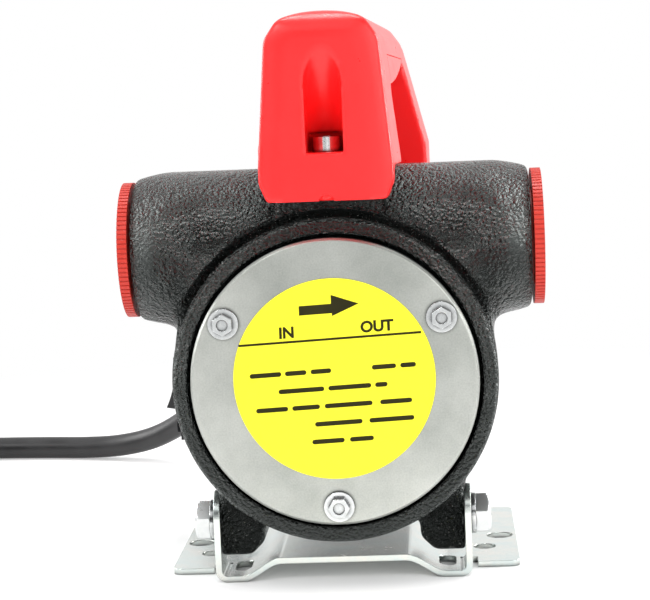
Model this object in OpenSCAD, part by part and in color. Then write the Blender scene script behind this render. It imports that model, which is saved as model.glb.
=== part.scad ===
// Diesel transfer pump: a vane pump head with a direct-current motor behind it, on a sheet steel bracket,
// with a carry handle on top. The cover faces -Y, the outlet is at +X, the floor is z = 0 and the origin
// is the middle of the bracket's four mounting holes.

/* [Pump head] */
// Height of the pump and motor axis above the floor
axis_z = 71; // [70:0.5:73]
// Distance from the cover's face back to the middle of the mounting holes
cover_to_base = 72; // [70:1:75]
// Diameter of the cover plate
cover_d = 98; // [96:0.5:99]
// Thickness of the cover plate
cover_t = 5; // [4:0.5:6]
// Outer diameter of the casting's round rim
rim_d = 111; // [110:0.5:112]
// Gap between the cover plate and the rim round it
rim_gap = 1.4; // [1:0.1:1.5]
// How far the rim stands back from the cover's face
rim_setback = 2; // [1:0.25:3]
// Depth of the casting behind the cover's face
body_depth = 50; // [49:1:54]
// Cover bolts, in from the edge of the cover
cover_bolt_in = 6.5; // [6.25:0.25:6.75]
// Thread diameter of the cover bolts
cover_bolt_d = 4; // [3.5:0.5:4.5]
// Diameter of the washer face under a cover bolt's hexagon
cover_bolt_flange_d = 10.4; // [9.5:0.1:11]
// Width across the flats of a cover bolt's hexagon
cover_bolt_af = 6.4; // [6:0.1:7]
// Length of a cover bolt under its head
cover_bolt_len = 15; // [12:1:18]

/* [Ports] */
// Height of the port axis above the pump axis
port_rise = 45; // [44:0.5:46]
// Distance of the port axis behind the cover's face
port_back = 28; // [27:0.5:28.5]
// Distance from the middle to each port's end face
port_half_span = 68; // [67:0.5:71]
// Radius of the cast beam that holds both ports
beam_r = 26.7; // [26:0.1:27]
// Radius of a port boss at its end face
boss_end_r = 24.3; // [24:0.1:25]
// Length of the tapered boss at each end of the beam
boss_len = 12.5; // [10:0.5:14]
// Radius of the threaded wall of a port, at the thread's crests
port_r = 15.15; // [15:0.05:15.3]
// Radius of the relieved mouth of a port, which the cap's plug fits in
port_mouth_r = 16.75; // [16.6:0.05:17]
// Depth of the relieved mouth
port_mouth_len = 14.5; // [14:0.5:16]
// Floors of the ports, in from the chamber wall
port_floor_in = 10; // [9:0.5:10.5]
// Diameter of the passage from each port down to the rotor chamber
passage_d = 10; // [8:0.5:11]

/* [Port caps] */
// Diameter of a cap's serrated rim
cap_rim_d = 47; // [45:0.5:48]
// Thickness of a cap's rim
cap_rim_t = 3.4; // [2.6:0.1:3.8]
// Outer radius of a cap's plug
cap_plug_r = 16.55; // [16.3:0.05:16.55]
// Wall of a cap's plug
cap_wall = 2.4; // [2:0.1:3]
// Gap between the inlet cap's rim and its boss
inlet_cap_gap = 1; // [0.8:0.1:3]
// Gap between the outlet cap's rim and its boss
outlet_cap_gap = 0.9; // [0.8:0.1:3]
// Depth of a cap's plug inside its port
cap_plug_in = 12; // [10:0.5:13]
// Number of serrations round a cap's rim
cap_teeth = 90; // [60:1:96]

/* [Rotor] */
// Rotor chamber wall, in from the edge of the cover
chamber_in = 19; // [18.5:0.5:20]
// Length of the rotor chamber
chamber_len = 27; // [26:0.5:28]
// Distance of the chamber's middle below the shaft
chamber_drop = 3.6; // [3.4:0.1:3.8]
// Gap between the rotor and the chamber wall at the tight place
rotor_gap = 0.4; // [0.3:0.05:0.6]
// Clearance at each end of the rotor
rotor_end_gap = 0.2; // [0.15:0.05:0.3]
// Number of vanes
vane_count = 4; // [4:1:5]
// Thickness of a vane
vane_t = 4; // [3:0.25:4.5]
// Radius at the floor of the vane slots
vane_in_r = 12.5; // [12.5:0.25:15]
// Diameter of the shaft in the pump and the front bearing
shaft_d = 12; // [11:0.5:12.5]

/* [Motor] */
// Outer diameter of the motor tube
tube_d = 80; // [79:0.5:81]
// Wall of the motor tube
tube_wall = 3; // [2.5:0.25:3.5]
// Length of the motor tube
tube_len = 130; // [128:1:144]
// Thickness of the motor's front flange
flange_t = 8; // [8:0.5:10]
// Length of the ledges that locate the tube
spigot_len = 4; // [3:0.5:5]
// Radial clearance of the ledges and glued parts in the tube
tube_fit = 0.1; // [0.05:0.05:0.2]
// Room behind the armature core
core_back_room = 24; // [22:1:34]
// Radius of the armature core
core_r = 28.8; // [28:0.2:29]
// Air gap between the core and the magnets
air_gap = 1.2; // [0.8:0.1:1.4]
// Angle that each magnet covers
magnet_angle = 128; // [110:1:132]
// Depth of the motor's end cap
end_cap_len = 16; // [15:1:22]
// Radius of the commutator
commutator_r = 12; // [11.5:0.25:12.5]
// Length of the commutator
commutator_len = 17; // [16:0.5:18]
// Width of a brush along the shaft
brush_w = 8; // [7:0.5:9]
// Height of a brush across the shaft
brush_h = 6; // [5:0.5:8]
// Length of a new brush
brush_len = 12.6; // [11:0.2:13]

/* [Bracket] */
// Thickness of the bracket's sheet
sheet_t = 2.2; // [2:0.1:2.5]
// Outer width across the bracket's ears
ears_w = 89.4; // [88:0.2:92]
// Width across the bracket's wings
wings_w = 122.8; // [120:0.2:128]
// Height of the raised middle over the floor
hump_h = 6.2; // [5.5:0.1:6.5]
// Width of the raised middle's top
hump_top_w = 43; // [38:1:44]
// Width between the lower ends of its ramps
hump_foot_w = 72; // [68:1:73]
// Distance of the bracket's front edge behind the cover's face
bracket_front = 11.6; // [11:0.2:12.4]
// Depth of the bracket from front to back
bracket_len = 98.4; // [96:0.4:104]
// Distance of the wings' front edge behind the bracket's front edge
wing_back = 12.4; // [12:0.2:14]
// Width of an ear
ear_w = 17.4; // [16:0.2:18]
// Height of an ear's top
ear_h = 31; // [30:0.5:33]
// Height of the bracket bolts
bracket_bolt_z = 20.5; // [19.5:0.25:21.5]
// Thread diameter of the bracket bolts
bracket_bolt_d = 8; // [8:0.5:8]
// Length of a bracket bolt under its head
bracket_bolt_len = 18; // [14:1:20]
// Mounting hole spacing from side to side
hole_dx = 99; // [97:0.5:102]
// Mounting holes, back from the front of the wings
hole_front_in = 22; // [20:0.5:24]
// Mounting holes, in from the rear edge
hole_back_in = 12; // [10:0.5:13]
// Diameter of a mounting hole
hole_d = 8; // [7:0.25:9]
// Diameter of the spare hole in each wing
spare_hole_d = 9.6; // [8:0.2:10]

/* [Handle] */
// Height of the handle's top above the pump axis
handle_rise = 125; // [123:0.5:130]
// Half width of the front leg at the bottom
leg_half_w = 22.4; // [21:0.2:24]
// Half width of the front leg under the shoulders
leg_top_half_w = 19; // [18:0.2:20]
// Half width of the rear leg at its foot
rear_half_w = 34; // [33:0.25:35]
// Half width of the rear leg under the shoulders
rear_top_half_w = 24.6; // [23:0.2:26]
// Depth of the front leg
leg_depth = 28; // [26:0.5:30]
// How far the front leg stands in front of the cover's face
leg_ahead = 3; // [2.5:0.25:4]
// Length of the handle along the pump at the top of its rear leg
grip_len = 132; // [130:1:136]
// Thickness of the grip
grip_t = 19; // [17:0.5:21]
// Thickness of the liner under the grip at its front end
liner_t = 3.5; // [3:0.25:4.5]
// Thickness of the rear leg at its foot
rear_leg_t = 22; // [20:0.5:24]
// How far the rear leg leans back
lean = 17; // [15:0.5:19]
// Thread diameter of the handle screws
handle_screw_d = 5; // [4.5:0.5:5]
// Diameter of a handle screw's round head
handle_screw_head_d = 10; // [8.5:0.1:10.5]
// Distance of the front handle screw behind the cover's face
handle_screw_back = 12; // [11:0.5:13]

/* [Switch box and gland] */
// Length of the switch box along the motor
box_len = 44; // [42:1:46]
// Distance of the switch box behind the motor's front flange
box_back = 2; // [1:0.5:4]
// Height of the switch box
box_h = 36; // [35:1:38]
// Distance of the box's outer face from the middle
box_out_x = 61; // [60:0.5:63]
// Wall of the switch box
box_wall = 2.5; // [2:0.25:3]
// Height of the box's middle above the floor
box_z = 60; // [59:0.5:62]
// Length of the rocker
rocker_len = 20; // [18:0.5:21]
// Width of the rocker
rocker_w = 12; // [10:0.5:13]
// Angle that the rocker turns through
rocker_angle = 20; // [16:1:22]
// Width across the flats of the gland
gland_af = 18; // [17:0.5:19]
// Length of the tapered strain relief
relief_len = 24; // [20:1:28]

/* [Cord] */
// Diameter of the power cord
cord_d = 10; // [9:0.25:10]
// Turns in the put-away coil
coil_turns = 4.25; // [3.25:1:5.25]
// Radius of the coil's outer turn
coil_r = 68; // [67:0.5:68.5]
// Width of the battery connector
plug_w = 36; // [32:1:40]
// Height of the battery connector
plug_h = 17; // [15:0.5:18]
// Length of the battery connector
plug_len = 46; // [42:1:50]

/* [Hidden] */

$fn = 96;
// overrun of every cut past the face that it breaks
over = 1;
// clearance between faces that slide, and between faces that are only laid together
run_gap = 0.05;
laid_gap = 0.15;

front_y = -cover_to_base;
back_y = front_y + body_depth;
cover_back_y = front_y + cover_t;
cover_r = cover_d / 2;
rim_r = rim_d / 2;
port_z = axis_z + port_rise;
port_y = front_y + port_back;
tube_r = tube_d / 2;
tube_in_r = tube_r - tube_wall;
shaft_r = shaft_d / 2;
chamber_r = cover_r - chamber_in;
port_floor_x = chamber_r - port_floor_in;
bolt_circle_r = cover_r - cover_bolt_in;
rotor_r = chamber_r - chamber_drop - rotor_gap;
handle_top_z = axis_z + handle_rise;
handle_y = front_y - leg_ahead;
rear_y = handle_y + grip_len;

// a flat outline in x and z, carried along Y from y0 to y1
module slab_y(y0, y1) {
    translate([0, y1, 0])
        rotate([90, 0, 0])
            linear_extrude(y1 - y0)
                children();
}

// a flat outline in y and z, carried along X from x0 to x1
module slab_x(x0, x1) {
    translate([x0, 0, 0])
        rotate([90, 0, 90])
            linear_extrude(x1 - x0)
                children();
}

// a shape drawn round Z is laid on the pump axis, its base at y
module on_axis(y) {
    translate([0, y, axis_z])
        rotate([-90, 0, 0])
            children();
}

// a shape drawn round Z is laid along X at [x, y, z], pointing to side (1 or -1)
module along_x(place, side = 1) {
    translate(place)
        rotate([0, side * 90, 0])
            children();
}

module ring(r_in, r_out, length) {
    difference() {
        cylinder(r = r_out, h = length);
        translate([0, 0, -over])
            cylinder(r = r_in, h = length + 2 * over);
    }
}

// a hexagonal prism, af across its flats, with flats facing +y and -y
module hexagon(af, length) {
    cylinder(r = af / 2 / cos(30), h = length, $fn = 6);
}

function arc(c, r, a0, a1, n) = [for (i = [0:n]) let (a = a0 + (a1 - a0) * i / n) c + r * [cos(a), sin(a)]];

// Pump casting
rim_in_r = cover_r + rim_gap;
rim_chamfer = 1.6;
port_edge = 1.2;
web_front_y = front_y + rim_setback + 2;
web_back_y = back_y - 5;
underport_r = 10;
underport_z = port_z - boss_end_r - underport_r - 1;
underport_x = min(sqrt(pow(rim_r + underport_r - 0.4, 2) - pow(underport_z - axis_z, 2)),
    port_half_span - port_edge);
foot_out_x = ears_w / 2 - sheet_t;
foot_in_x = foot_out_x - 16;
foot_z = 9.3;
foot_front_y = front_y + bracket_front + 1.6;
foot_depth = 26;
foot_corner = 4.6;
bracket_bolt_y = front_y + bracket_front + ear_w / 2;
pad_half_w = 18;
pad_depth = 40;
pad_z = port_z + beam_r + 0.3;
pad_front_y = front_y + 4;
seal_ring_r = 1;
seal_in = 11.4;
seal_mid_r = cover_r - seal_in;
seal_groove_w = 2.4;
seal_groove_t = 2 * seal_ring_r + laid_gap;
cover_hole_r = cover_bolt_d / 2 + 0.25;
chamber_z = axis_z - chamber_drop;
shaft_hole_r = shaft_r + 1;
lip_seal_r = 13;
lip_seal_len = 7;
lip_seal_y = back_y - lip_seal_len - 3;
bypass_r = 7.5;
bypass_seat_r = 4.5;
bypass_wall = 6;
bypass_seat_x = port_floor_x - bypass_wall;
through_bolt_r = 2.5;
through_bolt_at = 33.2;
through_bolt_in = 14;
handle_screw_y = front_y + handle_screw_back;
handle_screw_in = 11;
bolt_angles = [30, 150, 270];

module casting_rim() {
    on_axis(front_y + rim_setback)
        rotate_extrude()
            polygon([[0, cover_t - rim_setback], [rim_in_r, cover_t - rim_setback], [rim_in_r, rim_chamfer / 2],
                [rim_in_r + rim_chamfer / 2, 0], [rim_r - rim_chamfer, 0], [rim_r, rim_chamfer],
                [rim_r, body_depth - rim_setback], [0, body_depth - rim_setback]]);
}

module casting_beam() {
    reach = port_half_span - boss_len;
    along_x([-port_half_span, port_y, port_z])
        rotate_extrude()
            polygon([[0, 0], [boss_end_r - port_edge, 0], [boss_end_r, port_edge], [beam_r, boss_len],
                [beam_r, boss_len + 2 * reach], [boss_end_r, 2 * port_half_span - port_edge],
                [boss_end_r - port_edge, 2 * port_half_span], [0, 2 * port_half_span]]);
}

// the web between the beam and the rim, drawn in under each boss
module casting_web() {
    slab_y(web_front_y, web_back_y)
        difference() {
            polygon([[-underport_x, port_z], [-underport_x, underport_z], [0, axis_z],
                [underport_x, underport_z], [underport_x, port_z]]);
            for (side = [-1, 1])
                translate([side * underport_x, underport_z])
                    circle(r = underport_r);
        }
}

module casting_feet() {
    for (side = [-1, 1])
        slab_y(foot_front_y, foot_front_y + foot_depth)
            polygon([for (p = [[foot_out_x, axis_z - rim_r / 2], [foot_out_x, foot_z],
                [foot_in_x + foot_corner, foot_z], [foot_in_x + foot_corner / 4, foot_z + foot_corner],
                [foot_in_x, axis_z - rim_r + 2 * foot_corner / 4], [foot_in_x / 3, axis_z - rim_r + foot_corner / 4],
                [foot_in_x / 3, axis_z - rim_r / 2]]) [side * p[0], p[1]]]);
}

module casting_cuts() {
    // seats of the cover plate and of the motor's flange
    on_axis(front_y - over)
        cylinder(r = rim_in_r, h = cover_t + over);
    on_axis(back_y)
        cylinder(r = tube_r + laid_gap, h = body_depth);
    // rotor chamber, shaft hole and lip seal seat
    translate([0, cover_back_y - over, chamber_z])
        rotate([-90, 0, 0])
            cylinder(r = chamber_r, h = chamber_len + over);
    on_axis(cover_back_y)
        cylinder(r = shaft_hole_r, h = body_depth);
    on_axis(lip_seal_y)
        cylinder(r = lip_seal_r, h = body_depth);
    // groove of the cover seal and cover bolt holes
    on_axis(cover_back_y - over)
        ring(seal_mid_r - seal_groove_w / 2, seal_mid_r + seal_groove_w / 2, seal_groove_t + over);
    for (a = bolt_angles)
        translate([bolt_circle_r * cos(a), cover_back_y - over, axis_z + bolt_circle_r * sin(a)])
            rotate([-90, 0, 0])
                cylinder(r = cover_bolt_d / 2, h = cover_bolt_len - cover_t + 2 * over);
    // ports, their relieved mouths and the passages down to the chamber
    for (side = [-1, 1]) {
        along_x([side * port_floor_x, port_y, port_z], side)
            cylinder(r = port_r, h = port_half_span);
        along_x([side * (port_half_span - port_mouth_len), port_y, port_z], side)
            cylinder(r = port_mouth_r, h = port_mouth_len + over);
        translate([side * (port_floor_x + passage_d / 2 + over), port_y - port_r / 2, chamber_z])
            cylinder(r = passage_d / 2, h = port_rise);
    }
    // bypass channel between the ports
    along_x([-port_floor_x - over, port_y, port_z])
        cylinder(r = bypass_r, h = port_floor_x + bypass_seat_x + over);
    along_x([0, port_y, port_z])
        cylinder(r = bypass_seat_r, h = port_floor_x + over);
    // threaded holes for the through bolts, bracket bolts and front handle screw
    for (side = [-1, 1]) {
        translate([0, back_y - through_bolt_in, axis_z + side * through_bolt_at])
            rotate([-90, 0, 0])
                cylinder(r = through_bolt_r, h = through_bolt_in + over);
        along_x([side * (foot_out_x - bracket_bolt_len), bracket_bolt_y, bracket_bolt_z], side)
            cylinder(r = bracket_bolt_d / 2, h = bracket_bolt_len + over);
    }
    translate([0, handle_screw_y, pad_z - handle_screw_in])
        cylinder(r = handle_screw_d / 2, h = handle_screw_in + over);
}

module pump_body() {
    color("#262626")
        difference() {
            union() {
                casting_rim();
                casting_beam();
                casting_web();
                casting_feet();
                translate([-pad_half_w, pad_front_y, port_z])
                    cube([2 * pad_half_w, pad_depth, pad_z - port_z]);
            }
            casting_cuts();
        }
}

// Cover, its seal, its bolts and the label on it
cover_edge = 0.9;
label_in = 14.8;
label_r = cover_r - label_in;
label_t = 0.2;
label_up = 1.3;
cover_head_t = 1.2;
cover_hex_t = 3;
cover_dimple_r = 2;
cover_dimple_t = 0.8;

module cover_plate() {
    color("#b9bcbc")
        difference() {
            on_axis(front_y)
                rotate_extrude()
                    polygon([[0, 0], [cover_r - cover_edge, 0], [cover_r, cover_edge], [cover_r, cover_t], [0, cover_t]]);
            for (a = bolt_angles)
                translate([bolt_circle_r * cos(a), front_y - over, axis_z + bolt_circle_r * sin(a)])
                    rotate([-90, 0, 0])
                        cylinder(r = cover_hole_r, h = cover_t + 2 * over);
        }
}

module cover_seal() {
    color("#151515")
        on_axis(cover_back_y + seal_ring_r + run_gap)
            rotate_extrude()
                translate([seal_mid_r, 0])
                    circle(r = seal_ring_r, $fn = 24);
}

module cover_bolts() {
    color("#d3d5d6")
        for (i = [0:len(bolt_angles) - 1])
            translate([bolt_circle_r * cos(bolt_angles[i]), front_y, axis_z + bolt_circle_r * sin(bolt_angles[i])])
                rotate([-90, i < 2 ? 30 : 0, 0])
                    cover_bolt();
}

module cover_bolt() {
    difference() {
        union() {
            cylinder(r = cover_bolt_d / 2, h = cover_bolt_len);
            translate([0, 0, -cover_head_t])
                cylinder(r = cover_bolt_flange_d / 2, h = cover_head_t);
            translate([0, 0, -cover_head_t - cover_hex_t])
                hexagon(cover_bolt_af, cover_hex_t + cover_head_t);
        }
        translate([0, 0, -cover_head_t - cover_hex_t - over])
            cylinder(r = cover_dimple_r, h = cover_dimple_t + over);
    }
}

module rating_label() {
    color("#f7ee1e")
        translate([0, front_y - label_t, axis_z + label_up])
            rotate([-90, 0, 0])
                cylinder(r = label_r, h = label_t);
}

// Rotor and vanes
rotor_y = cover_back_y + rotor_end_gap;
rotor_len = chamber_len - 2 * rotor_end_gap;
vane_side_gap = 0.1;
vane_len = rotor_r - vane_in_r - vane_side_gap;
rotor_pin_r = 1.5;
rotor_pin_len = 2 * (vane_in_r - 2);

module pump_rotor() {
    color("#8d9093")
        on_axis(rotor_y)
            difference() {
                cylinder(r = rotor_r, h = rotor_len);
                translate([0, 0, 2])
                    cylinder(r = shaft_r, h = rotor_len);
                for (i = [0:vane_count - 1])
                    rotate(45 + i * 360 / vane_count)
                        translate([vane_in_r - vane_side_gap, -vane_t / 2 - vane_side_gap, -over])
                            cube([rotor_r, vane_t + 2 * vane_side_gap, rotor_len + 2 * over]);
                translate([0, 0, rotor_len / 2])
                    rotate([0, 90, 0])
                        cylinder(r = rotor_pin_r, h = rotor_pin_len + 2 * vane_side_gap, center = true);
            }
}

module rotor_vanes() {
    color("#3b3733")
        on_axis(rotor_y)
            for (i = [0:vane_count - 1])
                rotate(45 + i * 360 / vane_count)
                    translate([vane_in_r, -vane_t / 2, vane_side_gap])
                        cube([vane_len, vane_t, rotor_len - 2 * vane_side_gap]);
}

module rotor_pin() {
    color("#c9ccce")
        on_axis(rotor_y + rotor_len / 2)
            rotate([0, 90, 0])
                cylinder(r = rotor_pin_r, h = rotor_pin_len, center = true);
}

module shaft_seal() {
    color("#6b3a2a")
        on_axis(lip_seal_y)
            ring(shaft_r + run_gap, lip_seal_r, lip_seal_len);
}

// Bypass valve, which opens from the outlet to the inlet
poppet_r = bypass_r - 0.3;
poppet_t = 3;
poppet_stem_r = 2.5;
poppet_stem_len = 14;
retainer_t = 5;
bypass_travel = 4;
spring_wire = 1.1;

module bypass_poppet() {
    color("#c8a24a")
        along_x([bypass_seat_x - laid_gap, port_y, port_z], -1) {
            cylinder(r = poppet_r, h = poppet_t);
            cylinder(r = poppet_stem_r, h = poppet_t + poppet_stem_len);
        }
}

module bypass_retainer() {
    color("#c8a24a")
        along_x([-port_floor_x, port_y, port_z])
            ring(poppet_stem_r + 1, bypass_r, retainer_t);
}

module bypass_spring() {
    spring_len = bypass_seat_x - laid_gap - poppet_t + port_floor_x - retainer_t - 2 * laid_gap;
    color("#9a9da0")
        along_x([-port_floor_x + retainer_t + laid_gap, port_y, port_z])
            ring(poppet_r - 2 * spring_wire, poppet_r - spring_wire, spring_len);
}

// Port caps
cap_tooth_w = 0.45;
cap_tooth_t = 0.3;
cap_grip_r = 9;
cap_grip_t = 1.2;
cap_bar_w = 3.4;

module port_cap(gap) {
    difference() {
        union() {
            translate([0, 0, gap])
                cylinder(r = cap_rim_d / 2, h = cap_rim_t);
            translate([0, 0, -cap_plug_in])
                cylinder(r = cap_plug_r, h = cap_plug_in + gap + cap_rim_t / 2);
        }
        translate([0, 0, -cap_plug_in - over])
            cylinder(r = cap_plug_r - cap_wall, h = cap_plug_in + gap + over);
        // serrations round the rim
        for (i = [0:cap_teeth - 1])
            rotate(i * 360 / cap_teeth)
                translate([cap_rim_d / 2 - cap_tooth_t, -cap_tooth_w / 2, gap - over])
                    cube([over + cap_tooth_t, cap_tooth_w, cap_rim_t + 2 * over]);
        // two finger pockets leave a grip bar across the face
        for (side = [0, 180])
            rotate(side)
                translate([0, cap_bar_w / 2, gap + cap_rim_t - cap_grip_t])
                    intersection() {
                        cylinder(r = cap_grip_r, h = cap_grip_t + over);
                        translate([-cap_grip_r, cap_bar_w / 2, 0])
                            cube([2 * cap_grip_r, cap_grip_r, cap_grip_t + over]);
                    }
    }
}

module inlet_cap() {
    color("#e23a2e")
        along_x([-port_half_span, port_y, port_z], -1)
            port_cap(inlet_cap_gap);
}

module outlet_cap() {
    color("#e23a2e")
        along_x([port_half_span, port_y, port_z])
            port_cap(outlet_cap_gap);
}

// Bracket: one stamped sheet with a raised middle, two ears and two wings
ear_x = ears_w / 2;
bend_r = 2;
wing_y = front_y + bracket_front + wing_back;
bracket_y = front_y + bracket_front;
relief_w = 1.9;
wing_root_y = bracket_y + ear_w + relief_w;
flat_x = ear_x - sheet_t - bend_r;
wing_corner = 3;
ramp_hole = [6, 14];
spare_hole_in = 6;
spare_hole_back = 38.8;
ramp_steps = 16;

// height of the raised middle's lower face over the floor at x: flat, then a smooth ramp
function hump(x) = let (t = min(max((hump_foot_w / 2 - abs(x)) / (hump_foot_w - hump_top_w) * 2, 0), 1))
    hump_h * t * t * (3 - 2 * t);
ramp_x = [for (i = [0:ramp_steps]) hump_top_w / 2 + (hump_foot_w - hump_top_w) / 2 * i / ramp_steps];
half_x = concat(ramp_x, [flat_x]);
hump_x = concat([for (i = [len(half_x) - 1:-1:0]) -half_x[i]], half_x);

module bracket_base() {
    slab_y(bracket_y, bracket_y + bracket_len)
        polygon(concat([for (x = hump_x) [x, hump(x)]],
            [for (i = [len(hump_x) - 1:-1:0]) [hump_x[i], hump(hump_x[i]) + sheet_t]]));
}

module bracket_ear(side) {
    bend_z = sheet_t + bend_r;
    slab_y(bracket_y, bracket_y + ear_w)
        scale([side, 1])
            translate([flat_x, bend_z])
                intersection() {
                    difference() {
                        circle(r = bend_z);
                        circle(r = bend_r);
                    }
                    translate([0, -bend_z])
                        square(bend_z);
                }
    slab_x(side > 0 ? ear_x - sheet_t : -ear_x, side > 0 ? ear_x : sheet_t - ear_x)
        union() {
            translate([bracket_y, bend_z])
                square([ear_w, ear_h - ear_w / 2 - bend_z]);
            translate([bracket_y + ear_w / 2, ear_h - ear_w / 2])
                circle(r = ear_w / 2);
        }
}

module bracket_wing(side) {
    wing_in = ear_x + relief_w;
    linear_extrude(sheet_t)
        scale([side, 1])
            polygon(concat([[flat_x, wing_root_y], [wing_in, wing_root_y], [wing_in, wing_y]],
                arc([wings_w / 2 - wing_corner, wing_y + wing_corner], wing_corner, -90, 0, 6),
                arc([wings_w / 2 - wing_corner, bracket_y + bracket_len - wing_corner], wing_corner, 0, 90, 6),
                [[flat_x, bracket_y + bracket_len]]));
}

module mounting_bracket() {
    color("#c4c9cb")
        difference() {
            union() {
                bracket_base();
                for (side = [-1, 1]) {
                    bracket_ear(side);
                    bracket_wing(side);
                }
            }
            for (side = [-1, 1]) {
                along_x([side * (ear_x - sheet_t - over), bracket_bolt_y, bracket_bolt_z], side)
                    cylinder(r = bracket_bolt_d / 2 + laid_gap, h = sheet_t + 2 * over);
                for (y = [wing_y + hole_front_in, bracket_y + bracket_len - hole_back_in])
                    translate([side * hole_dx / 2, y, -over])
                        cylinder(r = hole_d / 2, h = sheet_t + 2 * over);
                translate([side * (wings_w / 2 - spare_hole_in), wing_y + spare_hole_back, -over])
                    cylinder(r = spare_hole_d / 2, h = sheet_t + 2 * over);
                // oblong hole at the foot of each ramp
                translate([side * hump_foot_w / 2, bracket_bolt_y + ear_w / 3, -over])
                    linear_extrude(hump_h + sheet_t + over)
                        union() {
                            square([ramp_hole[0], ramp_hole[1] - ramp_hole[0]], center = true);
                            for (end = [-1, 1])
                                translate([0, end * (ramp_hole[1] - ramp_hole[0]) / 2])
                                    circle(r = ramp_hole[0] / 2);
                        }
            }
        }
}

bracket_head_t = 5.3;
bracket_head_af = 13;
washer_t = 1.6;
washer_d = 14.2;
washer_split = 1.2;

module bracket_bolts() {
    color("#d3d5d6")
        for (side = [-1, 1])
            along_x([side * (ear_x + washer_t), bracket_bolt_y, bracket_bolt_z], side) {
                rotate(15)
                    hexagon(bracket_head_af, bracket_head_t);
                translate([0, 0, over - bracket_bolt_len])
                    cylinder(r = bracket_bolt_d / 2, h = bracket_bolt_len);
            }
}

module lock_washers() {
    color("#a9adb0")
        for (side = [-1, 1])
            along_x([side * ear_x, bracket_bolt_y, bracket_bolt_z], side)
                difference() {
                    ring(bracket_bolt_d / 2 + laid_gap, washer_d / 2, washer_t);
                    translate([0, -washer_split / 2, -over])
                        cube([washer_d, washer_split, washer_t + 2 * over]);
                }
}

// Motor
flange_y = back_y;
tube_y = flange_y + flange_t;
tube_end_y = tube_y + tube_len;
cap_end_y = tube_end_y + end_cap_len;
front_bearing_r = 16;
front_bearing_len = 10;
front_bearing_y = flange_y + flange_t + spigot_len - front_bearing_len;
rear_bearing_r = 15;
rear_bearing_len = 9;
rear_bearing_y = tube_end_y + 1;
rear_shaft_r = 5;
race_t = 2.6;
brush_plate_y = tube_y + spigot_len;
brush_plate_t = 3;
commutator_y = brush_plate_y + brush_plate_t + 1;
winding_len = 10;
core_y = commutator_y + commutator_len + winding_len + 1;
core_len = tube_end_y - core_y - core_back_room;
magnet_over = 4;
magnet_in_r = core_r + air_gap;
magnet_out_r = tube_in_r - tube_fit;
magnet_y = core_y - magnet_over;
magnet_len = core_len + 2 * magnet_over;
slot_count = 12;
slot_r = 2.3;
slot_at = core_r - slot_r - 1.4;
winding_in_r = 8;
core_shaft_r = 8;
saddle_half = 7;
saddle_y = rear_y + lean + saddle_half + 3;
saddle_z = axis_z + tube_r + 2;
lead_hole_r = 5;
lead_hole_y = brush_plate_y + brush_plate_t + 7;

module motor_flange() {
    color("#8f9396")
        difference() {
            on_axis(flange_y) {
                cylinder(r = tube_r, h = flange_t);
                cylinder(r = tube_in_r - tube_fit, h = flange_t + spigot_len);
            }
            on_axis(flange_y - over)
                cylinder(r = shaft_r + 3, h = flange_t);
            on_axis(front_bearing_y)
                cylinder(r = front_bearing_r, h = front_bearing_len + over);
            through_bolt_holes(flange_y - over, flange_t + spigot_len + 2 * over);
        }
}

module through_bolt_holes(y, length) {
    for (side = [-1, 1])
        translate([0, y, axis_z + side * through_bolt_at])
            rotate([-90, 0, 0])
                cylinder(r = through_bolt_r + laid_gap, h = length);
}

// a ball bearing as one solid: two races joined by a thinner ring for the balls and cage
module bearing(r_in, r_out, length) {
    ring(r_in, r_in + race_t, length);
    ring(r_out - race_t, r_out, length);
    translate([0, 0, length / 6])
        ring(r_in + race_t / 2, r_out - race_t / 2, length * 2 / 3);
}

module front_bearing() {
    color("#b7babd")
        on_axis(front_bearing_y)
            bearing(shaft_r + run_gap, front_bearing_r, front_bearing_len);
}

module rear_bearing() {
    color("#b7babd")
        on_axis(rear_bearing_y)
            bearing(rear_shaft_r + run_gap, rear_bearing_r, rear_bearing_len);
}

washer_gap = 1.2;

module wave_washer() {
    color("#6f7275")
        on_axis(rear_bearing_y + rear_bearing_len)
            ring(rear_bearing_r - race_t, rear_bearing_r - run_gap, washer_gap);
}

module motor_tube() {
    color("#1d1d1e")
        difference() {
            union() {
                on_axis(tube_y)
                    cylinder(r = tube_r, h = tube_len);
                // welded pad under the rear handle screw
                translate([-saddle_half, saddle_y - saddle_half, axis_z + tube_in_r])
                    cube([2 * saddle_half, 2 * saddle_half, saddle_z - axis_z - tube_in_r]);
            }
            on_axis(tube_y - over)
                cylinder(r = tube_in_r, h = tube_len + 2 * over);
            translate([0, saddle_y, axis_z + magnet_in_r])
                cylinder(r = handle_screw_d / 2, h = tube_r);
            along_x([-tube_in_r / 2, lead_hole_y, axis_z], -1)
                cylinder(r = lead_hole_r, h = tube_r);
        }
}

module motor_magnets() {
    color("#4a4d50")
        for (side = [0, 180])
            on_axis(magnet_y)
                rotate(side - magnet_angle / 2)
                    rotate_extrude(angle = magnet_angle)
                        translate([magnet_in_r, 0])
                            square([magnet_out_r - magnet_in_r, magnet_len]);
}

module armature_shaft() {
    shaft_front_y = rotor_y + 2;
    color("#c9ccce")
        difference() {
            union() {
                on_axis(shaft_front_y)
                    cylinder(r = shaft_r, h = commutator_y - shaft_front_y);
                on_axis(commutator_y)
                    cylinder(r = core_shaft_r, h = core_y + core_len + winding_len - commutator_y);
                on_axis(commutator_y)
                    cylinder(r = rear_shaft_r, h = rear_bearing_y + rear_bearing_len - commutator_y);
            }
            on_axis(rotor_y + rotor_len / 2)
                rotate([0, 90, 0])
                    cylinder(r = rotor_pin_r, h = rotor_pin_len, center = true);
        }
}

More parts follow.
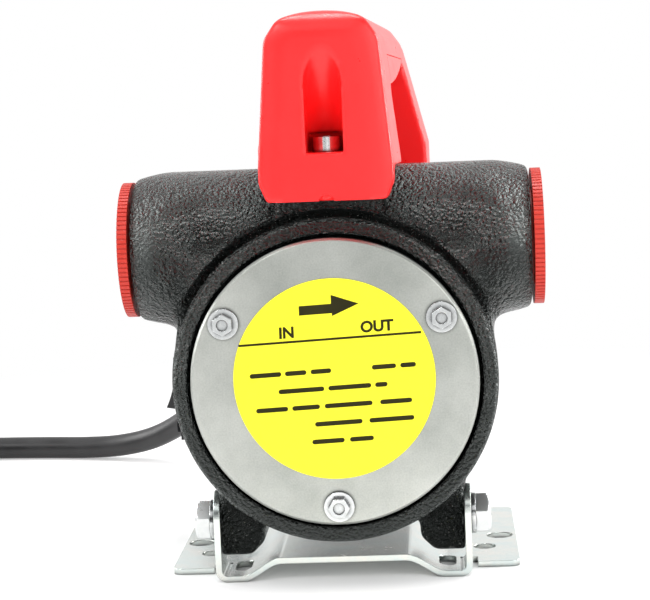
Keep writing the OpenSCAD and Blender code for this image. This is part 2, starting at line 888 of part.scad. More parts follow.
module armature_core() {
    color("#54575a")
        on_axis(core_y)
            difference() {
                cylinder(r = core_r, h = core_len);
                translate([0, 0, -over])
                    cylinder(r = core_shaft_r, h = core_len + 2 * over);
                for (i = [0:slot_count - 1])
                    rotate(i * 360 / slot_count)
                        translate([slot_at, 0, -over]) {
                            cylinder(r = slot_r, h = core_len + 2 * over);
                            translate([0, -slot_r / 3, 0])
                                cube([core_r, slot_r * 2 / 3, core_len + 2 * over]);
                        }
            }
}

module armature_windings() {
    wire_r = slot_r - run_gap;
    color("#b0632c")
        on_axis(core_y) {
            for (end = [-winding_len, core_len])
                translate([0, 0, end])
                    rotate_extrude()
                        polygon([[winding_in_r, 0], [slot_at - wire_r, 0], [slot_at + wire_r, winding_len / 4],
                            [slot_at + wire_r, winding_len * 3 / 4], [slot_at - wire_r, winding_len],
                            [winding_in_r, winding_len]]);
            for (i = [0:slot_count - 1])
                rotate(i * 360 / slot_count)
                    translate([slot_at, 0, -winding_len / 2])
                        cylinder(r = wire_r, h = core_len + winding_len);
        }
}

bar_count = 24;
bar_gap = 0.6;
bar_groove = 1;

module commutator() {
    color("#b87545")
        on_axis(commutator_y)
            difference() {
                cylinder(r = commutator_r, h = commutator_len);
                translate([0, 0, -over])
                    cylinder(r = core_shaft_r, h = commutator_len + 2 * over);
                for (i = [0:bar_count - 1])
                    rotate(i * 360 / bar_count)
                        translate([commutator_r - bar_groove, -bar_gap / 2, -over])
                            cube([bar_groove + over, bar_gap, commutator_len + 2 * over]);
            }
}

// Brush gear
brush_gap = 0.3;
brush_travel = 4;
holder_wall = 1.2;
holder_fit = 0.1;
holder_in_x = commutator_r + 1.6;
holder_end_x = tube_in_r - 2.2;
brush_in_x = commutator_r + brush_gap;
brush_y = brush_plate_y + brush_plate_t + holder_wall + holder_fit;

module brush_plate() {
    color("#7a4a26")
        difference() {
            on_axis(brush_plate_y)
                ring(commutator_r + 1.5, tube_in_r - 1, brush_plate_t);
            through_bolt_holes(brush_plate_y - over, brush_plate_t + 2 * over);
        }
}

module brush_holders() {
    w = brush_w + 2 * holder_fit;
    h = brush_h + 2 * holder_fit;
    color("#c9a24e")
        for (side = [-1, 1])
            scale([side, 1, 1])
                difference() {
                    translate([holder_in_x, brush_y - holder_fit - holder_wall, axis_z - h / 2 - holder_wall])
                        cube([holder_end_x - holder_in_x, w + 2 * holder_wall, h + 2 * holder_wall]);
                    translate([holder_in_x - over, brush_y - holder_fit, axis_z - h / 2])
                        cube([holder_end_x - holder_in_x + over - holder_wall, w, h]);
                }
}

module brush(side) {
    color("#2c2c2e")
        scale([side, 1, 1])
            translate([brush_in_x, brush_y, axis_z - brush_h / 2])
                cube([brush_len, brush_w, brush_h]);
}

module brush_left() {
    brush(-1);
}

module brush_right() {
    brush(1);
}

module brush_spring(side) {
    spring_x = brush_in_x + brush_len + laid_gap;
    spring_r = brush_h / 2 - 0.4;
    color("#9a9da0")
        along_x([side * spring_x, brush_y + brush_w / 2, axis_z], side)
            ring(spring_r - 0.8, spring_r, holder_end_x - holder_wall - laid_gap - spring_x);
}

module brush_spring_left() {
    brush_spring(-1);
}

module brush_spring_right() {
    brush_spring(1);
}

// End cap and through bolts
cap_wall_t = 4;
hub_wall = 3.5;
cap_round = 6;
through_head_r = 4.2;
through_head_t = 4;

module motor_end_cap() {
    hub_end = rear_bearing_len + 1 + washer_gap;
    color("#202021")
        difference() {
            on_axis(tube_end_y) {
                rotate_extrude()
                    polygon(concat([[tube_in_r - cap_wall_t, 0], [tube_r, 0]],
                        arc([tube_r - cap_round, end_cap_len - cap_round], cap_round, 0, 90, 8),
                        [[0, end_cap_len], [0, hub_end], [tube_in_r - cap_wall_t, hub_end]]));
                translate([0, 0, -spigot_len])
                    ring(tube_in_r - cap_wall_t / 2, tube_in_r - tube_fit, spigot_len + over);
                ring(rear_bearing_r, rear_bearing_r + hub_wall, hub_end + over);
                // columns that the through bolts pass through
                for (side = [-1, 1])
                    translate([0, side * (through_bolt_at - over), 0])
                        cylinder(r = through_head_r, h = hub_end + over);
            }
            through_bolt_holes(tube_end_y - spigot_len - over, end_cap_len + spigot_len + 2 * over);
            for (side = [-1, 1])
                translate([0, cap_end_y - through_head_t, axis_z + side * through_bolt_at])
                    rotate([-90, 0, 0])
                        cylinder(r = through_head_r, h = through_head_t + over);
        }
}

module through_bolts() {
    under_head_y = cap_end_y - through_head_t;
    bolt_in_y = back_y - through_bolt_in + over;
    color("#c9ccce")
        for (side = [-1, 1])
            translate([0, bolt_in_y, axis_z + side * through_bolt_at])
                rotate([-90, 0, 0])
                    difference() {
                        union() {
                            cylinder(r = through_bolt_r, h = under_head_y - bolt_in_y);
                            translate([0, 0, under_head_y - bolt_in_y])
                                cylinder(r = through_head_r - 0.3, h = through_head_t - 0.5);
                        }
                        translate([0, 0, under_head_y - bolt_in_y + through_head_t / 2])
                            hexagon(through_bolt_r * 1.6, through_head_t);
                    }
}

// Switch box on the inlet side of the motor
box_y = tube_y + box_back;
box_z0 = box_z - box_h / 2;
lid_t = 2.5;
lid_x = box_out_x - lid_t;
box_floor_x = tube_r + 2;
bezel_t = 2;
bezel_edge = 2;
rocker_fit = 0.6;
switch_depth = 13;
pivot_x = box_out_x - 0.4;
pivot_y = box_y + box_len / 2;
rocker_rise = 6;
rocker_hub_r = 3.4;
rocker_pin_r = 1.5;
rocker_pin_len = 1.6;
body_half_w = rocker_w / 2 + rocker_fit + 1.8;
body_half_h = rocker_len / 2 + rocker_fit + 1.6;
lid_screw_r = 1.5;
lid_screw_head_r = 2.8;
lid_screw_in = 4.2;
gland_x = -(tube_r + 9.6);
gland_z = box_z0 + gland_af / 2 / cos(30) + 1;
gland_y = box_y + box_len;
cord_r = cord_d / 2;

module switch_box() {
    color("#1b1b1c")
        difference() {
            translate([-lid_x, box_y, box_z0])
                cube([lid_x - tube_r / 2, box_len, box_h]);
            translate([-lid_x - over, box_y + box_wall, box_z0 + box_wall])
                cube([lid_x - box_floor_x + over, box_len - 2 * box_wall, box_h - 2 * box_wall]);
            on_axis(box_y - over)
                cylinder(r = tube_r + laid_gap, h = box_len + 2 * over);
            translate([gland_x, gland_y - box_wall - over, gland_z])
                rotate([-90, 0, 0])
                    cylinder(r = gland_thread_r, h = box_wall + 2 * over);
            along_x([-tube_in_r, lead_hole_y, axis_z], -1)
                cylinder(r = lead_hole_r, h = box_out_x - tube_in_r - lid_t - over);
        }
    // corner posts that take the lid screws
    color("#1b1b1c")
        for (p = lid_screw_places)
            translate([0, p[0], p[1]])
                difference() {
                    along_x([-box_floor_x + over, 0, 0], -1)
                        cylinder(r = lid_screw_head_r, h = lid_x - box_floor_x + over);
                    along_x([-lid_x + lid_screw_in, 0, 0], -1)
                        cylinder(r = lid_screw_r, h = lid_screw_in + over);
                }
}

post_in = box_wall + 2.2;
lid_screw_places = [for (y = [box_y + post_in, box_y + box_len - post_in])
    [y, y < pivot_y ? box_z0 + post_in : box_z0 + box_h - post_in]];

module switch_box_lid() {
    color("#1b1b1c")
        difference() {
            translate([-box_out_x, box_y, box_z0])
                cube([lid_t, box_len, box_h]);
            translate([-box_out_x - over, pivot_y - body_half_w, box_z - body_half_h])
                cube([lid_t + 2 * over, 2 * body_half_w, 2 * body_half_h]);
            for (p = lid_screw_places)
                along_x([-lid_x + over, p[0], p[1]], -1)
                    cylinder(r = lid_screw_r + laid_gap, h = lid_t + 2 * over);
        }
}

module lid_screws() {
    color("#c9ccce")
        for (p = lid_screw_places)
            along_x([-lid_x + lid_screw_in - over, p[0], p[1]], -1)
                difference() {
                    union() {
                        cylinder(r = lid_screw_r, h = lid_screw_in + lid_t - over);
                        translate([0, 0, lid_screw_in + lid_t - over])
                            cylinder(r = lid_screw_head_r, h = lid_screw_r);
                    }
                    translate([-lid_screw_head_r, -lid_screw_r / 4, lid_screw_in + lid_t + lid_screw_r / 3 - over])
                        cube([2 * lid_screw_head_r, lid_screw_r / 2, lid_screw_r]);
                }
}

module switch_body() {
    color("#141415")
        difference() {
            union() {
                translate([-box_out_x - bezel_t, pivot_y - body_half_w - bezel_edge, box_z - body_half_h - bezel_edge])
                    cube([bezel_t, 2 * (body_half_w + bezel_edge), 2 * (body_half_h + bezel_edge)]);
                translate([-box_out_x - bezel_t, pivot_y - body_half_w + run_gap, box_z - body_half_h + run_gap])
                    cube([switch_depth + bezel_t, 2 * (body_half_w - run_gap), 2 * (body_half_h - run_gap)]);
            }
            translate([-box_out_x - bezel_t - over, pivot_y - rocker_w / 2 - rocker_fit, box_z - rocker_len / 2 - rocker_fit])
                cube([switch_depth + bezel_t + over - 2, rocker_w + 2 * rocker_fit, rocker_len + 2 * rocker_fit]);
            translate([-pivot_x, pivot_y, box_z])
                rotate([90, 0, 0])
                    cylinder(r = rocker_pin_r + run_gap, h = 2 * (rocker_w / 2 + rocker_fit + rocker_pin_len), center = true);
        }
}

// the rocker rests with its lower end raised and turns about its pin by rocker_angle
module switch_rocker() {
    half = rocker_len / 2 - 0.4;
    color("#232325")
        translate([-pivot_x, pivot_y, box_z])
            rotate([0, rocker_angle / 2, 0]) {
                slab_y(-rocker_w / 2, rocker_w / 2)
                    polygon(concat([[-rocker_rise, -half], [-1, -half], [rocker_hub_r / 2, -rocker_hub_r],
                        [rocker_hub_r / 2, rocker_hub_r], [-1, half], [-rocker_rise, half]],
                        [for (i = [3:-1:-3]) [-rocker_rise + 1.4 * (1 - pow(i / 4, 2)), half * i / 4]]));
                rotate([90, 0, 0])
                    cylinder(r = rocker_pin_r, h = rocker_w + 2 * rocker_fit + 2 * rocker_pin_len - 0.2, center = true);
            }
}

// Leads from the switch to the brush holders
lead_r = 1.2;

module motor_leads() {
    color("#b02a20")
        for (side = [-1, 1])
            along_x([-holder_end_x, lead_hole_y + side * 2, axis_z], -1)
                cylinder(r = lead_r, h = box_out_x - switch_depth - 0.6 - holder_end_x, $fn = 24);
}

// Gland, its nut and the tapered strain relief
gland_thread_r = 7.6;
gland_hex_t = 5;
gland_nut_t = 11;
gland_nut_round = 3;
relief_front_r = 7.4;
relief_back_r = cord_r + 1;
cord_fit = 0.1;
relief_y = gland_y + gland_hex_t + gland_nut_t;
cord_exit_y = relief_y + relief_len;

module at_gland(y) {
    translate([gland_x, y, gland_z])
        rotate([-90, 0, 0])
            children();
}

module cable_gland() {
    color("#1a1a1b")
        at_gland(gland_y)
            difference() {
                union() {
                    hexagon(gland_af, gland_hex_t);
                    translate([0, 0, -box_wall - 2])
                        cylinder(r = gland_thread_r - run_gap, h = box_wall + 3);
                }
                translate([0, 0, -box_wall - 2 - over])
                    cylinder(r = cord_r + cord_fit, h = box_wall + 2 + gland_hex_t + 2 * over);
            }
}

module gland_nut() {
    color("#1a1a1b")
        at_gland(gland_y + gland_hex_t)
            difference() {
                intersection() {
                    hexagon(gland_af, gland_nut_t);
                    rotate_extrude()
                        polygon(concat([[0, 0], [gland_af / 2 / cos(30), 0]],
                            arc([gland_af / 2 - gland_nut_round + 0.9, gland_nut_t - gland_nut_round], gland_nut_round, 0, 90, 6),
                            [[0, gland_nut_t]]));
                }
                translate([0, 0, -over])
                    cylinder(r = cord_r + cord_fit, h = gland_nut_t + 2 * over);
            }
}

module strain_relief() {
    color("#1a1a1b")
        at_gland(relief_y)
            rotate_extrude()
                polygon([[cord_r + cord_fit, 0], [relief_front_r, 0], [relief_back_r, relief_len], [cord_r + cord_fit, relief_len]]);
}

// Handle: its width grows from the front leg to the rear leg, and its side view is an arch
skirt_drop = 10.4;
skirt_z = pad_z - skirt_drop;
skirt_corner = [2.5, 6];
shoulder_drop = 6.6;
shoulder_in = 4.6;
crown = 2.9;
bevel_w = 5;
bevel_t = 1.6;
rear_drop = 2.4;
rear_wide_up = 75;
rear_wide_z = axis_z + rear_wide_up;
gap_top_z = handle_top_z - grip_t;
gap_front_y = handle_y + leg_depth;
gap_front_r = 4;
gap_drop = 7;
gap_back_r = 12;
gap_back_in = 31;
gap_back_y = rear_y - gap_back_in;
gap_lean_angle = 16;
foot_in_y = rear_y + lean - rear_leg_t;
foot_back_y = rear_y + lean;
foot_top_up = 44;
foot_top_z = axis_z + foot_top_up;
foot_low_up = 25;
foot_low_z = axis_z + foot_low_up;
knee_up = 57;
knee_z = axis_z + knee_up;
heel_half_w = 17;
heel_t = 9;
heel_z = saddle_z + heel_t;
heel_end_y = saddle_y + saddle_half + 2.5;
top_front_r = 9;
top_back_r = 14;
base_t = 5.6;
slot_w = 13.2;
slot_tilt = 36;
notch_r = 2.2;
liner_end_in = 5;
liner_slope_share = 0.02;
liner_y = gap_front_y + liner_end_in;
liner_end_y = gap_back_y + gap_back_r / 2;
grip_wall = 5;
liner_screw_r = 1.5;
liner_screw_head_r = 2.9;
liner_screw_head_t = 1.6;
liner_screw_len = 10;
liner_screw_in = 24;
liner_screw_ys = [gap_front_y + liner_screw_in, gap_back_y - gap_back_r];

// an outline in x and z: bottom corners, sides, shoulders and a crowned top
function outline_x(low, wide_z, side_w, top_w, top_z, inset) = let (
    shoulder = top_w - shoulder_in,
    half = concat([[side_w - inset - skirt_corner[0], low], [side_w - inset, low + skirt_corner[1]],
        [side_w - inset, wide_z], [top_w - inset, top_z - shoulder_drop - crown], [shoulder - inset, top_z - crown]],
        [for (i = [3:-1:1]) [(shoulder - inset) * i / 4, top_z - crown * pow(i / 4, 2)]]))
    concat(half, [[0, top_z]], [for (i = [len(half) - 1:-1:0]) [-half[i][0], half[i][1]]]);

// the gap's ceiling, low in front
function ceiling(y) = gap_top_z
    - gap_drop * (1 - pow((y - gap_front_y) / (gap_back_y - gap_front_y), 1.7));
function seam_z(y) = gap_top_z + liner_t - (y - gap_front_y) * liner_slope_share;

module rear_outline() {
    polygon(outline_x(foot_low_z, rear_wide_z, rear_half_w, rear_top_half_w, handle_top_z - rear_drop, 0));
}

module handle_block() {
    thin = 0.2;
    wide_z = skirt_z + 2 * skirt_corner[1];
    hull() {
        slab_y(handle_y, handle_y + thin)
            polygon(outline_x(skirt_z, wide_z, leg_half_w, leg_top_half_w, handle_top_z, bevel_w));
        slab_y(handle_y + bevel_t, handle_y + bevel_t + thin)
            polygon(outline_x(skirt_z, wide_z, leg_half_w, leg_top_half_w, handle_top_z, 0));
        slab_y(rear_y - thin, rear_y)
            rear_outline();
    }
    slab_y(rear_y - thin, foot_back_y + over)
        rear_outline();
}

// side view: outer arch
arch_outer = concat([[handle_y, skirt_z]],
    arc([handle_y + top_front_r, handle_top_z + over - top_front_r], top_front_r, 180, 90, 6),
    arc([rear_y - top_back_r, handle_top_z + over - top_back_r], top_back_r, 90, gap_lean_angle, 6),
    [[foot_back_y, knee_z], [foot_back_y, foot_low_z], [gap_back_y, foot_low_z], [gap_back_y, skirt_z]]);
// side view: finger gap
gap_shape = concat([[gap_front_y, foot_low_z - over]],
    arc([gap_front_y + gap_front_r, gap_top_z - gap_drop - gap_front_r], gap_front_r, 180, 90, 4),
    [for (y = [gap_front_y + 3 * gap_front_r:2 * gap_front_r:gap_back_y - gap_front_r]) [y, ceiling(y)]],
    arc([gap_back_y, gap_top_z - gap_back_r], gap_back_r, 90, gap_lean_angle, 6),
    [[foot_in_y, foot_top_z], [foot_in_y, foot_low_z - over]]);
// side view: liner, over the finger gap
liner_shape = [[liner_y, gap_top_z - 2 * gap_drop], [liner_end_y, gap_top_z - gap_back_r],
    [liner_end_y, seam_z(liner_end_y)], [liner_y, seam_z(liner_y)]];

module access_slot() {
    slot_z = pad_z + base_t;
    reach = handle_screw_y - handle_y + over;
    translate([0, handle_screw_y, slot_z]) {
        cylinder(r = slot_w / 2, h = slot_w / 2);
        rotate([slot_tilt, 0, 0])
            cylinder(r = slot_w / 2, h = 2 * reach / sin(slot_tilt));
    }
    slab_x(-slot_w / 2, slot_w / 2)
        polygon([[handle_screw_y, slot_z], [handle_screw_y - reach, slot_z],
            [handle_screw_y - reach, slot_z + reach / tan(slot_tilt)]]);
}

module grip_hollow() {
    difference() {
        slab_x(grip_wall - leg_top_half_w, leg_top_half_w - grip_wall)
            polygon([[liner_y + over, seam_z(liner_y) - over], [liner_end_y - over, seam_z(liner_end_y) - over],
                [liner_end_y - over, handle_top_z - 2 * grip_wall], [liner_y + over, handle_top_z - 1.6 * grip_wall]]);
        for (y = liner_screw_ys)
            translate([0, y, gap_top_z - over])
                cylinder(r = liner_screw_head_r, h = grip_t);
    }
}

module liner_screw_holes(r) {
    for (y = liner_screw_ys)
        translate([0, y, gap_top_z - over])
            cylinder(r = r, h = liner_screw_len + 2 * over);
}

module handle() {
    color("#e2231a")
        difference() {
            union() {
                intersection() {
                    handle_block();
                    slab_x(-2 * rear_half_w, 2 * rear_half_w)
                        difference() {
                            polygon(arch_outer);
                            polygon(gap_shape);
                            polygon(liner_shape);
                        }
                }
                // heel over the pad on the motor tube
                translate([-heel_half_w, foot_back_y - over, foot_low_z])
                    cube([2 * heel_half_w, heel_end_y - foot_back_y + over, heel_z - foot_low_z]);
            }
            // room for the motor tube and its pad
            on_axis(foot_in_y - over)
                cylinder(r = tube_r + laid_gap, h = heel_end_y - foot_in_y + 2 * over);
            translate([-saddle_half - laid_gap, saddle_y - saddle_half - laid_gap, foot_low_z])
                cube([2 * (saddle_half + laid_gap), 2 * (saddle_half + laid_gap), saddle_z - foot_low_z]);
            // room for the casting's pad and beam under the front leg
            translate([-2 * leg_half_w, pad_front_y - laid_gap, foot_low_z])
                cube([4 * leg_half_w, leg_depth + over, pad_z - foot_low_z]);
            access_slot();
            translate([0, handle_screw_y, pad_z - over])
                cylinder(r = handle_screw_d / 2 + laid_gap, h = base_t + 2 * over);
            // half-round notch in the skirt's lower edge
            translate([0, handle_y - over, skirt_z])
                rotate([-90, 0, 0])
                    cylinder(r = notch_r, h = leg_ahead + over, $fn = 24);
            translate([0, saddle_y, foot_low_z])
                cylinder(r = handle_screw_d / 2 + laid_gap, h = heel_z);
            grip_hollow();
            liner_screw_holes(liner_screw_r);
        }
}

module handle_liner() {
    color("#e2231a")
        difference() {
            intersection() {
                handle_block();
                slab_x(-2 * rear_half_w, 2 * rear_half_w)
                    difference() {
                        polygon(liner_shape);
                        polygon(gap_shape);
                    }
            }
            liner_screw_holes(liner_screw_r + laid_gap);
            for (y = liner_screw_ys)
                translate([0, y, gap_top_z - gap_drop])
                    cylinder(r = liner_screw_head_r + laid_gap, h = liner_screw_head_t + gap_drop);
        }
}

module liner_screws() {
    color("#c9ccce")
        for (y = liner_screw_ys)
            translate([0, y, gap_top_z + laid_gap])
                difference() {
                    union() {
                        cylinder(r = liner_screw_head_r, h = liner_screw_head_t - laid_gap);
                        cylinder(r = liner_screw_r, h = liner_screw_len);
                    }
                    for (turn = [0, 90])
                        rotate(turn)
                            translate([-liner_screw_r, -liner_screw_r / 4, -over])
                                cube([2 * liner_screw_r, liner_screw_r / 2, over + liner_screw_head_t / 2]);
                }
}

module handle_screws() {
    head_t = handle_screw_d;
    heel_grip = heel_z - axis_z - tube_in_r - laid_gap;
    color("#d3d5d6")
        for (p = [[handle_screw_y, pad_z + base_t, base_t + handle_screw_in - over], [saddle_y, heel_z, heel_grip]])
            translate([0, p[0], p[1]])
                difference() {
                    union() {
                        cylinder(r = handle_screw_head_d / 2, h = head_t);
                        translate([0, 0, -p[2]])
                            cylinder(r = handle_screw_d / 2, h = p[2] + over);
                    }
                    translate([0, 0, head_t / 2])
                        hexagon(handle_screw_d * 0.8, head_t);
                }
}

// Cord: a tube round a path. Each ring of points lies square to the path.
function unit(v) = v / norm(v);
function heading(p, i, first, last) =
    i == 0 ? first : i == len(p) - 1 ? last : unit(p[i + 1] - p[i - 1]);
function tube_ring(c, t, r, sides, up) = let (s = unit(cross(t, up)), u = cross(s, t))
    [for (j = [0:sides - 1]) let (a = 360 * (j + 0.5) / sides) c + r * (cos(a) * s + sin(a) * u)];

module tube(path, r, sides, first, last, up = [0, 0, 1]) {
    n = len(path);
    rings = [for (i = [0:n - 1]) each tube_ring(path[i], heading(path, i, first, last), r, sides, up)];
    walls = [for (i = [0:n - 2]) for (j = [0:sides - 1]) let (a = i * sides + j, b = i * sides + (j + 1) % sides)
        each [[a, b, b + sides], [a, b + sides, a + sides]]];
    near_end = [[for (j = [sides - 1:-1:0]) j]];
    far_end = [[for (j = [0:sides - 1]) (n - 1) * sides + j]];
    polyhedron(rings, concat(near_end, walls, far_end), convexity = 10);
}

// a smooth line through points, with n steps from each to the next
function smooth(p, n) = concat([for (i = [0:len(p) - 2]) for (k = [0:n - 1]) let (t = k / n,
    a = p[max(i - 1, 0)], b = p[i], c = p[i + 1], d = p[min(i + 2, len(p) - 1)])
    (2 * b + (c - a) * t + (2 * a - 5 * b + 4 * c - d) * t * t + (3 * b - a - 3 * c + d) * t * t * t) / 2],
    [p[len(p) - 1]]);

// cord route from the end of the strain relief to the coil, in places chosen by hand
route = [[-49.6, 74, 53.4], [-49.6, 86, 53.4], [-50.6, 100, 51.6], [-54.5, 114, 46.8], [-62, 128, 38.6],
    [-72, 141, 28.6], [-84, 153, 18.8], [-98, 163, 11.2], [-114, 171, 6.8], [-131, 176.5, 5.2],
    [-149, 180, 5], [-167, 182, 5], [-185, 183, 5], [-204, 183, 5], [-222, 183, 5], [-240, 183, 5]];
tail_route = [[-308, 115, 15.6], [-308.2, 103, 15.4], [-309, 91, 13.8], [-310, 79, 10.9], [-311, 67, 7.8],
    [-311.5, 55, 5.6], [-311.5, 43, 5], [-311.5, 31, 5], [-311.5, 19, 5]];
coil_gap = 0.6;
coil_pitch = cord_d + coil_gap;
coil_half = coil_turns / 2;
coil_rise = 0.1;
coil_steps = 24;
coil_sides = 6;
cord_sides = 10;
cord_in = 6;
coil_centre = [-240, 115];
coil_start = 90;
tie_angle = 270;
tie_t = 1.5;
tie_w = 14;
tie_gap = 0.3;

// the coil runs inwards along the floor, climbs on itself and runs outwards on top
function coil_reach(t) = coil_r - coil_pitch * (t < coil_half ? t : coil_turns - t);
function climb(t) = let (k = min(max((t - coil_half + coil_rise) / (2 * coil_rise), 0), 1)) k * k * (3 - 2 * k);
function tie_lift(a) = (tie_t + tie_gap) * pow(max(cos(a - tie_angle), 0), 6);
function coil_point(t) = let (a = coil_start + 360 * t)
    [coil_centre[0] + coil_reach(t) * cos(a), coil_centre[1] + coil_reach(t) * sin(a),
    cord_r + coil_pitch * climb(t) + tie_lift(a)];
coil_path = [for (i = [0:round(coil_turns * coil_steps)]) coil_point(i / coil_steps)];
coil_least = min([for (i = [0:len(coil_path) - 1]) for (j = [i + round(coil_steps / 2):1:len(coil_path) - 1])
    norm(coil_path[i] - coil_path[j])]) - cord_d;
echo(coil_least_gap = coil_least, cord_length = coil_length(coil_path));

function coil_length(p, i = 1, sum = 0) = i == len(p) ? sum : coil_length(p, i + 1, sum + norm(p[i] - p[i - 1]));

module power_cord() {
    color("#1f1f20")
        tube(concat([[gland_x, gland_y - cord_in, gland_z]], smooth(route, 2)), cord_r, cord_sides,
            [0, 1, 0], [-1, 0, 0]);
}

module power_cord_coil() {
    color("#1f1f20")
        tube(coil_path, cord_r, coil_sides, [-1, 0, 0], [0, -1, 0]);
}

module power_cord_tail() {
    color("#1f1f20")
        tube(smooth(tail_route, 1), cord_r, cord_sides, [0, -1, 0], [0, -1, 0]);
}

module rounded(w, h, r) {
    polygon(concat(arc([w / 2 - r, h / 2 - r], r, 0, 90, 6), arc([r - w / 2, h / 2 - r], r, 90, 180, 6),
        arc([r - w / 2, r - h / 2], r, 180, 270, 6), arc([w / 2 - r, r - h / 2], r, 270, 360, 6)));
}

module cord_tie() {
    turn = (tie_angle - coil_start) / 360;
    near_r = coil_reach(coil_half) - cord_r - tie_gap;
    far_r = coil_r + cord_r + tie_gap;
    tall = cord_d + coil_pitch + 2 * tie_gap;
    wide = far_r - near_r;
    color("#2a2a2b")
        translate([coil_centre[0] - tie_w / 2, coil_centre[1] - (near_r + far_r) / 2, tall / 2 + tie_t])
            rotate([90, 0, 90])
                linear_extrude(tie_w)
                    difference() {
                        rounded(wide + 2 * tie_t, tall + 2 * tie_t, cord_r + tie_t);
                        rounded(wide, tall, cord_r);
                    }
}

// Battery connector at the end of the cord: a housing with two contacts in sockets
plug_round = 3;
plug_at = tail_route[len(tail_route) - 1];
plug_socket = [11, 9.5, 22];
plug_socket_x = 8.2;
plug_over = 3;
plug_rib_t = 1;
plug_rib_w = 2;
contact_t = 2.2;
contact_w = 7;

module battery_plug() {
    mid_z = plug_h / 2;
    color("#55595d")
        difference() {
            union() {
                translate([plug_at[0], plug_at[1] + plug_over, mid_z])
                    rotate([90, 0, 0])
                        linear_extrude(plug_len)
                            rounded(plug_w, plug_h, plug_round);
                for (i = [0:3])
                    translate([plug_at[0] - plug_w / 4, plug_at[1] - (2 * i + 1) * plug_rib_w, plug_h - plug_rib_t])
                        cube([plug_w / 2, plug_rib_w, 2 * plug_rib_t]);
            }
            translate([plug_at[0], plug_at[1] - plug_over, plug_at[2]])
                rotate([-90, 0, 0])
                    cylinder(r = cord_r + cord_fit, h = 2 * plug_over + over);
            for (side = [-1, 1])
                translate([plug_at[0] + side * plug_socket_x - plug_socket[0] / 2,
                    plug_at[1] + plug_over - plug_len - over, mid_z - plug_socket[1] / 2])
                    cube([plug_socket[0], plug_socket[2] + over, plug_socket[1]]);
        }
}

module plug_contacts() {
    color("#c7cbcd")
        for (side = [-1, 1])
            translate([plug_at[0] + side * plug_socket_x - contact_w / 2,
                plug_at[1] + plug_over - plug_len + plug_over, (plug_h - plug_socket[1]) / 2 + laid_gap])
                cube([contact_w, plug_socket[2] - plug_over, contact_t]);
}

pump_body();
cover_plate();
cover_seal();
cover_bolts();
rating_label();
pump_rotor();
rotor_vanes();
rotor_pin();
shaft_seal();
bypass_poppet();
bypass_spring();
bypass_retainer();
inlet_cap();
outlet_cap();
mounting_bracket();
bracket_bolts();
lock_washers();
motor_flange();
front_bearing();
rear_bearing();
wave_washer();
motor_tube();
motor_magnets();
armature_shaft();
armature_core();
armature_windings();
commutator();
brush_plate();
brush_holders();
brush_left();
brush_right();
brush_spring_left();
brush_spring_right();
motor_end_cap();
through_bolts();
switch_box();
switch_box_lid();
lid_screws();
switch_body();
switch_rocker();
motor_leads();
cable_gland();
gland_nut();
strain_relief();
handle();
handle_liner();
liner_screws();
handle_screws();
power_cord();
power_cord_coil();
power_cord_tail();
cord_tie();
battery_plug();
plug_contacts();
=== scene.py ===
"""Diesel transfer pump, dressed for a studio picture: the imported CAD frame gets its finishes, and the cast
body, the handle, the cord, the label's print, the bracket's bolts and the springs get their own surfaces."""
import math

import bmesh
import bpy
import numpy as np
from mathutils import Matrix, Vector


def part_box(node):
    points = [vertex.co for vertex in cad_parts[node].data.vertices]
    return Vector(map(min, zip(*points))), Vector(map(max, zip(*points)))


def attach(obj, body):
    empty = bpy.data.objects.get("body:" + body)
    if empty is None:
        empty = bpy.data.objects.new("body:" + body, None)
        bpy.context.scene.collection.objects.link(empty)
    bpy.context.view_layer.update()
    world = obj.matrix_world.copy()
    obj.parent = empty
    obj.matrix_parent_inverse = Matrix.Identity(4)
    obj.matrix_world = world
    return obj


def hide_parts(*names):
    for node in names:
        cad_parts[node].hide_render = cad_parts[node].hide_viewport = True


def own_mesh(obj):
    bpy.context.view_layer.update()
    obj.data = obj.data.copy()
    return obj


bl_info = {
    "name": "Diesel Transfer Pump",
    "version": (1, 0, 0),
    "blender": (4, 5, 0),
    "location": "View3D > Sidebar > Pump",
    "description": "Surfaces, finishes and stage for a diesel transfer pump",
    "category": "Object",
}

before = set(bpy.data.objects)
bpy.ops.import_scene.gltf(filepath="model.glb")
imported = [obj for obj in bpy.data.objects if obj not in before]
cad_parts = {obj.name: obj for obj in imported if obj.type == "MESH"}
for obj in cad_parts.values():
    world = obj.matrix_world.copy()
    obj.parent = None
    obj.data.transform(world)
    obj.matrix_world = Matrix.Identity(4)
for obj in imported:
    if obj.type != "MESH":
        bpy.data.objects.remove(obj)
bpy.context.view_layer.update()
MM = 0.001
BASE = "pump_base"


def corners(node):
    """Lowest and highest corner of a CAD node, in millimetres."""
    low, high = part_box(node)
    return np.array(low) / MM, np.array(high) / MM


PLATE_LOW, PLATE_HIGH = corners("cover_plate")
BODY_LOW, BODY_HIGH = corners("pump_body")
HANDLE_LOW, HANDLE_HIGH = corners("handle")
LABEL_LOW, LABEL_HIGH = corners("rating_label")
RETAINER_LOW, RETAINER_HIGH = corners("bypass_retainer")
WASHERS_HIGH = corners("lock_washers")[1]

FRONT_Y = PLATE_LOW[1]
AXIS_Z = (PLATE_LOW[2] + PLATE_HIGH[2]) / 2
PORT_Z = (RETAINER_LOW[2] + RETAINER_HIGH[2]) / 2
PORT_Y = (RETAINER_LOW[1] + RETAINER_HIGH[1]) / 2
PAD_Z = BODY_HIGH[2]


# Curves and grids


def linked(name, data):
    """A new object in the scene."""
    obj = bpy.data.objects.new(name, data)
    bpy.context.scene.collection.objects.link(obj)
    return obj


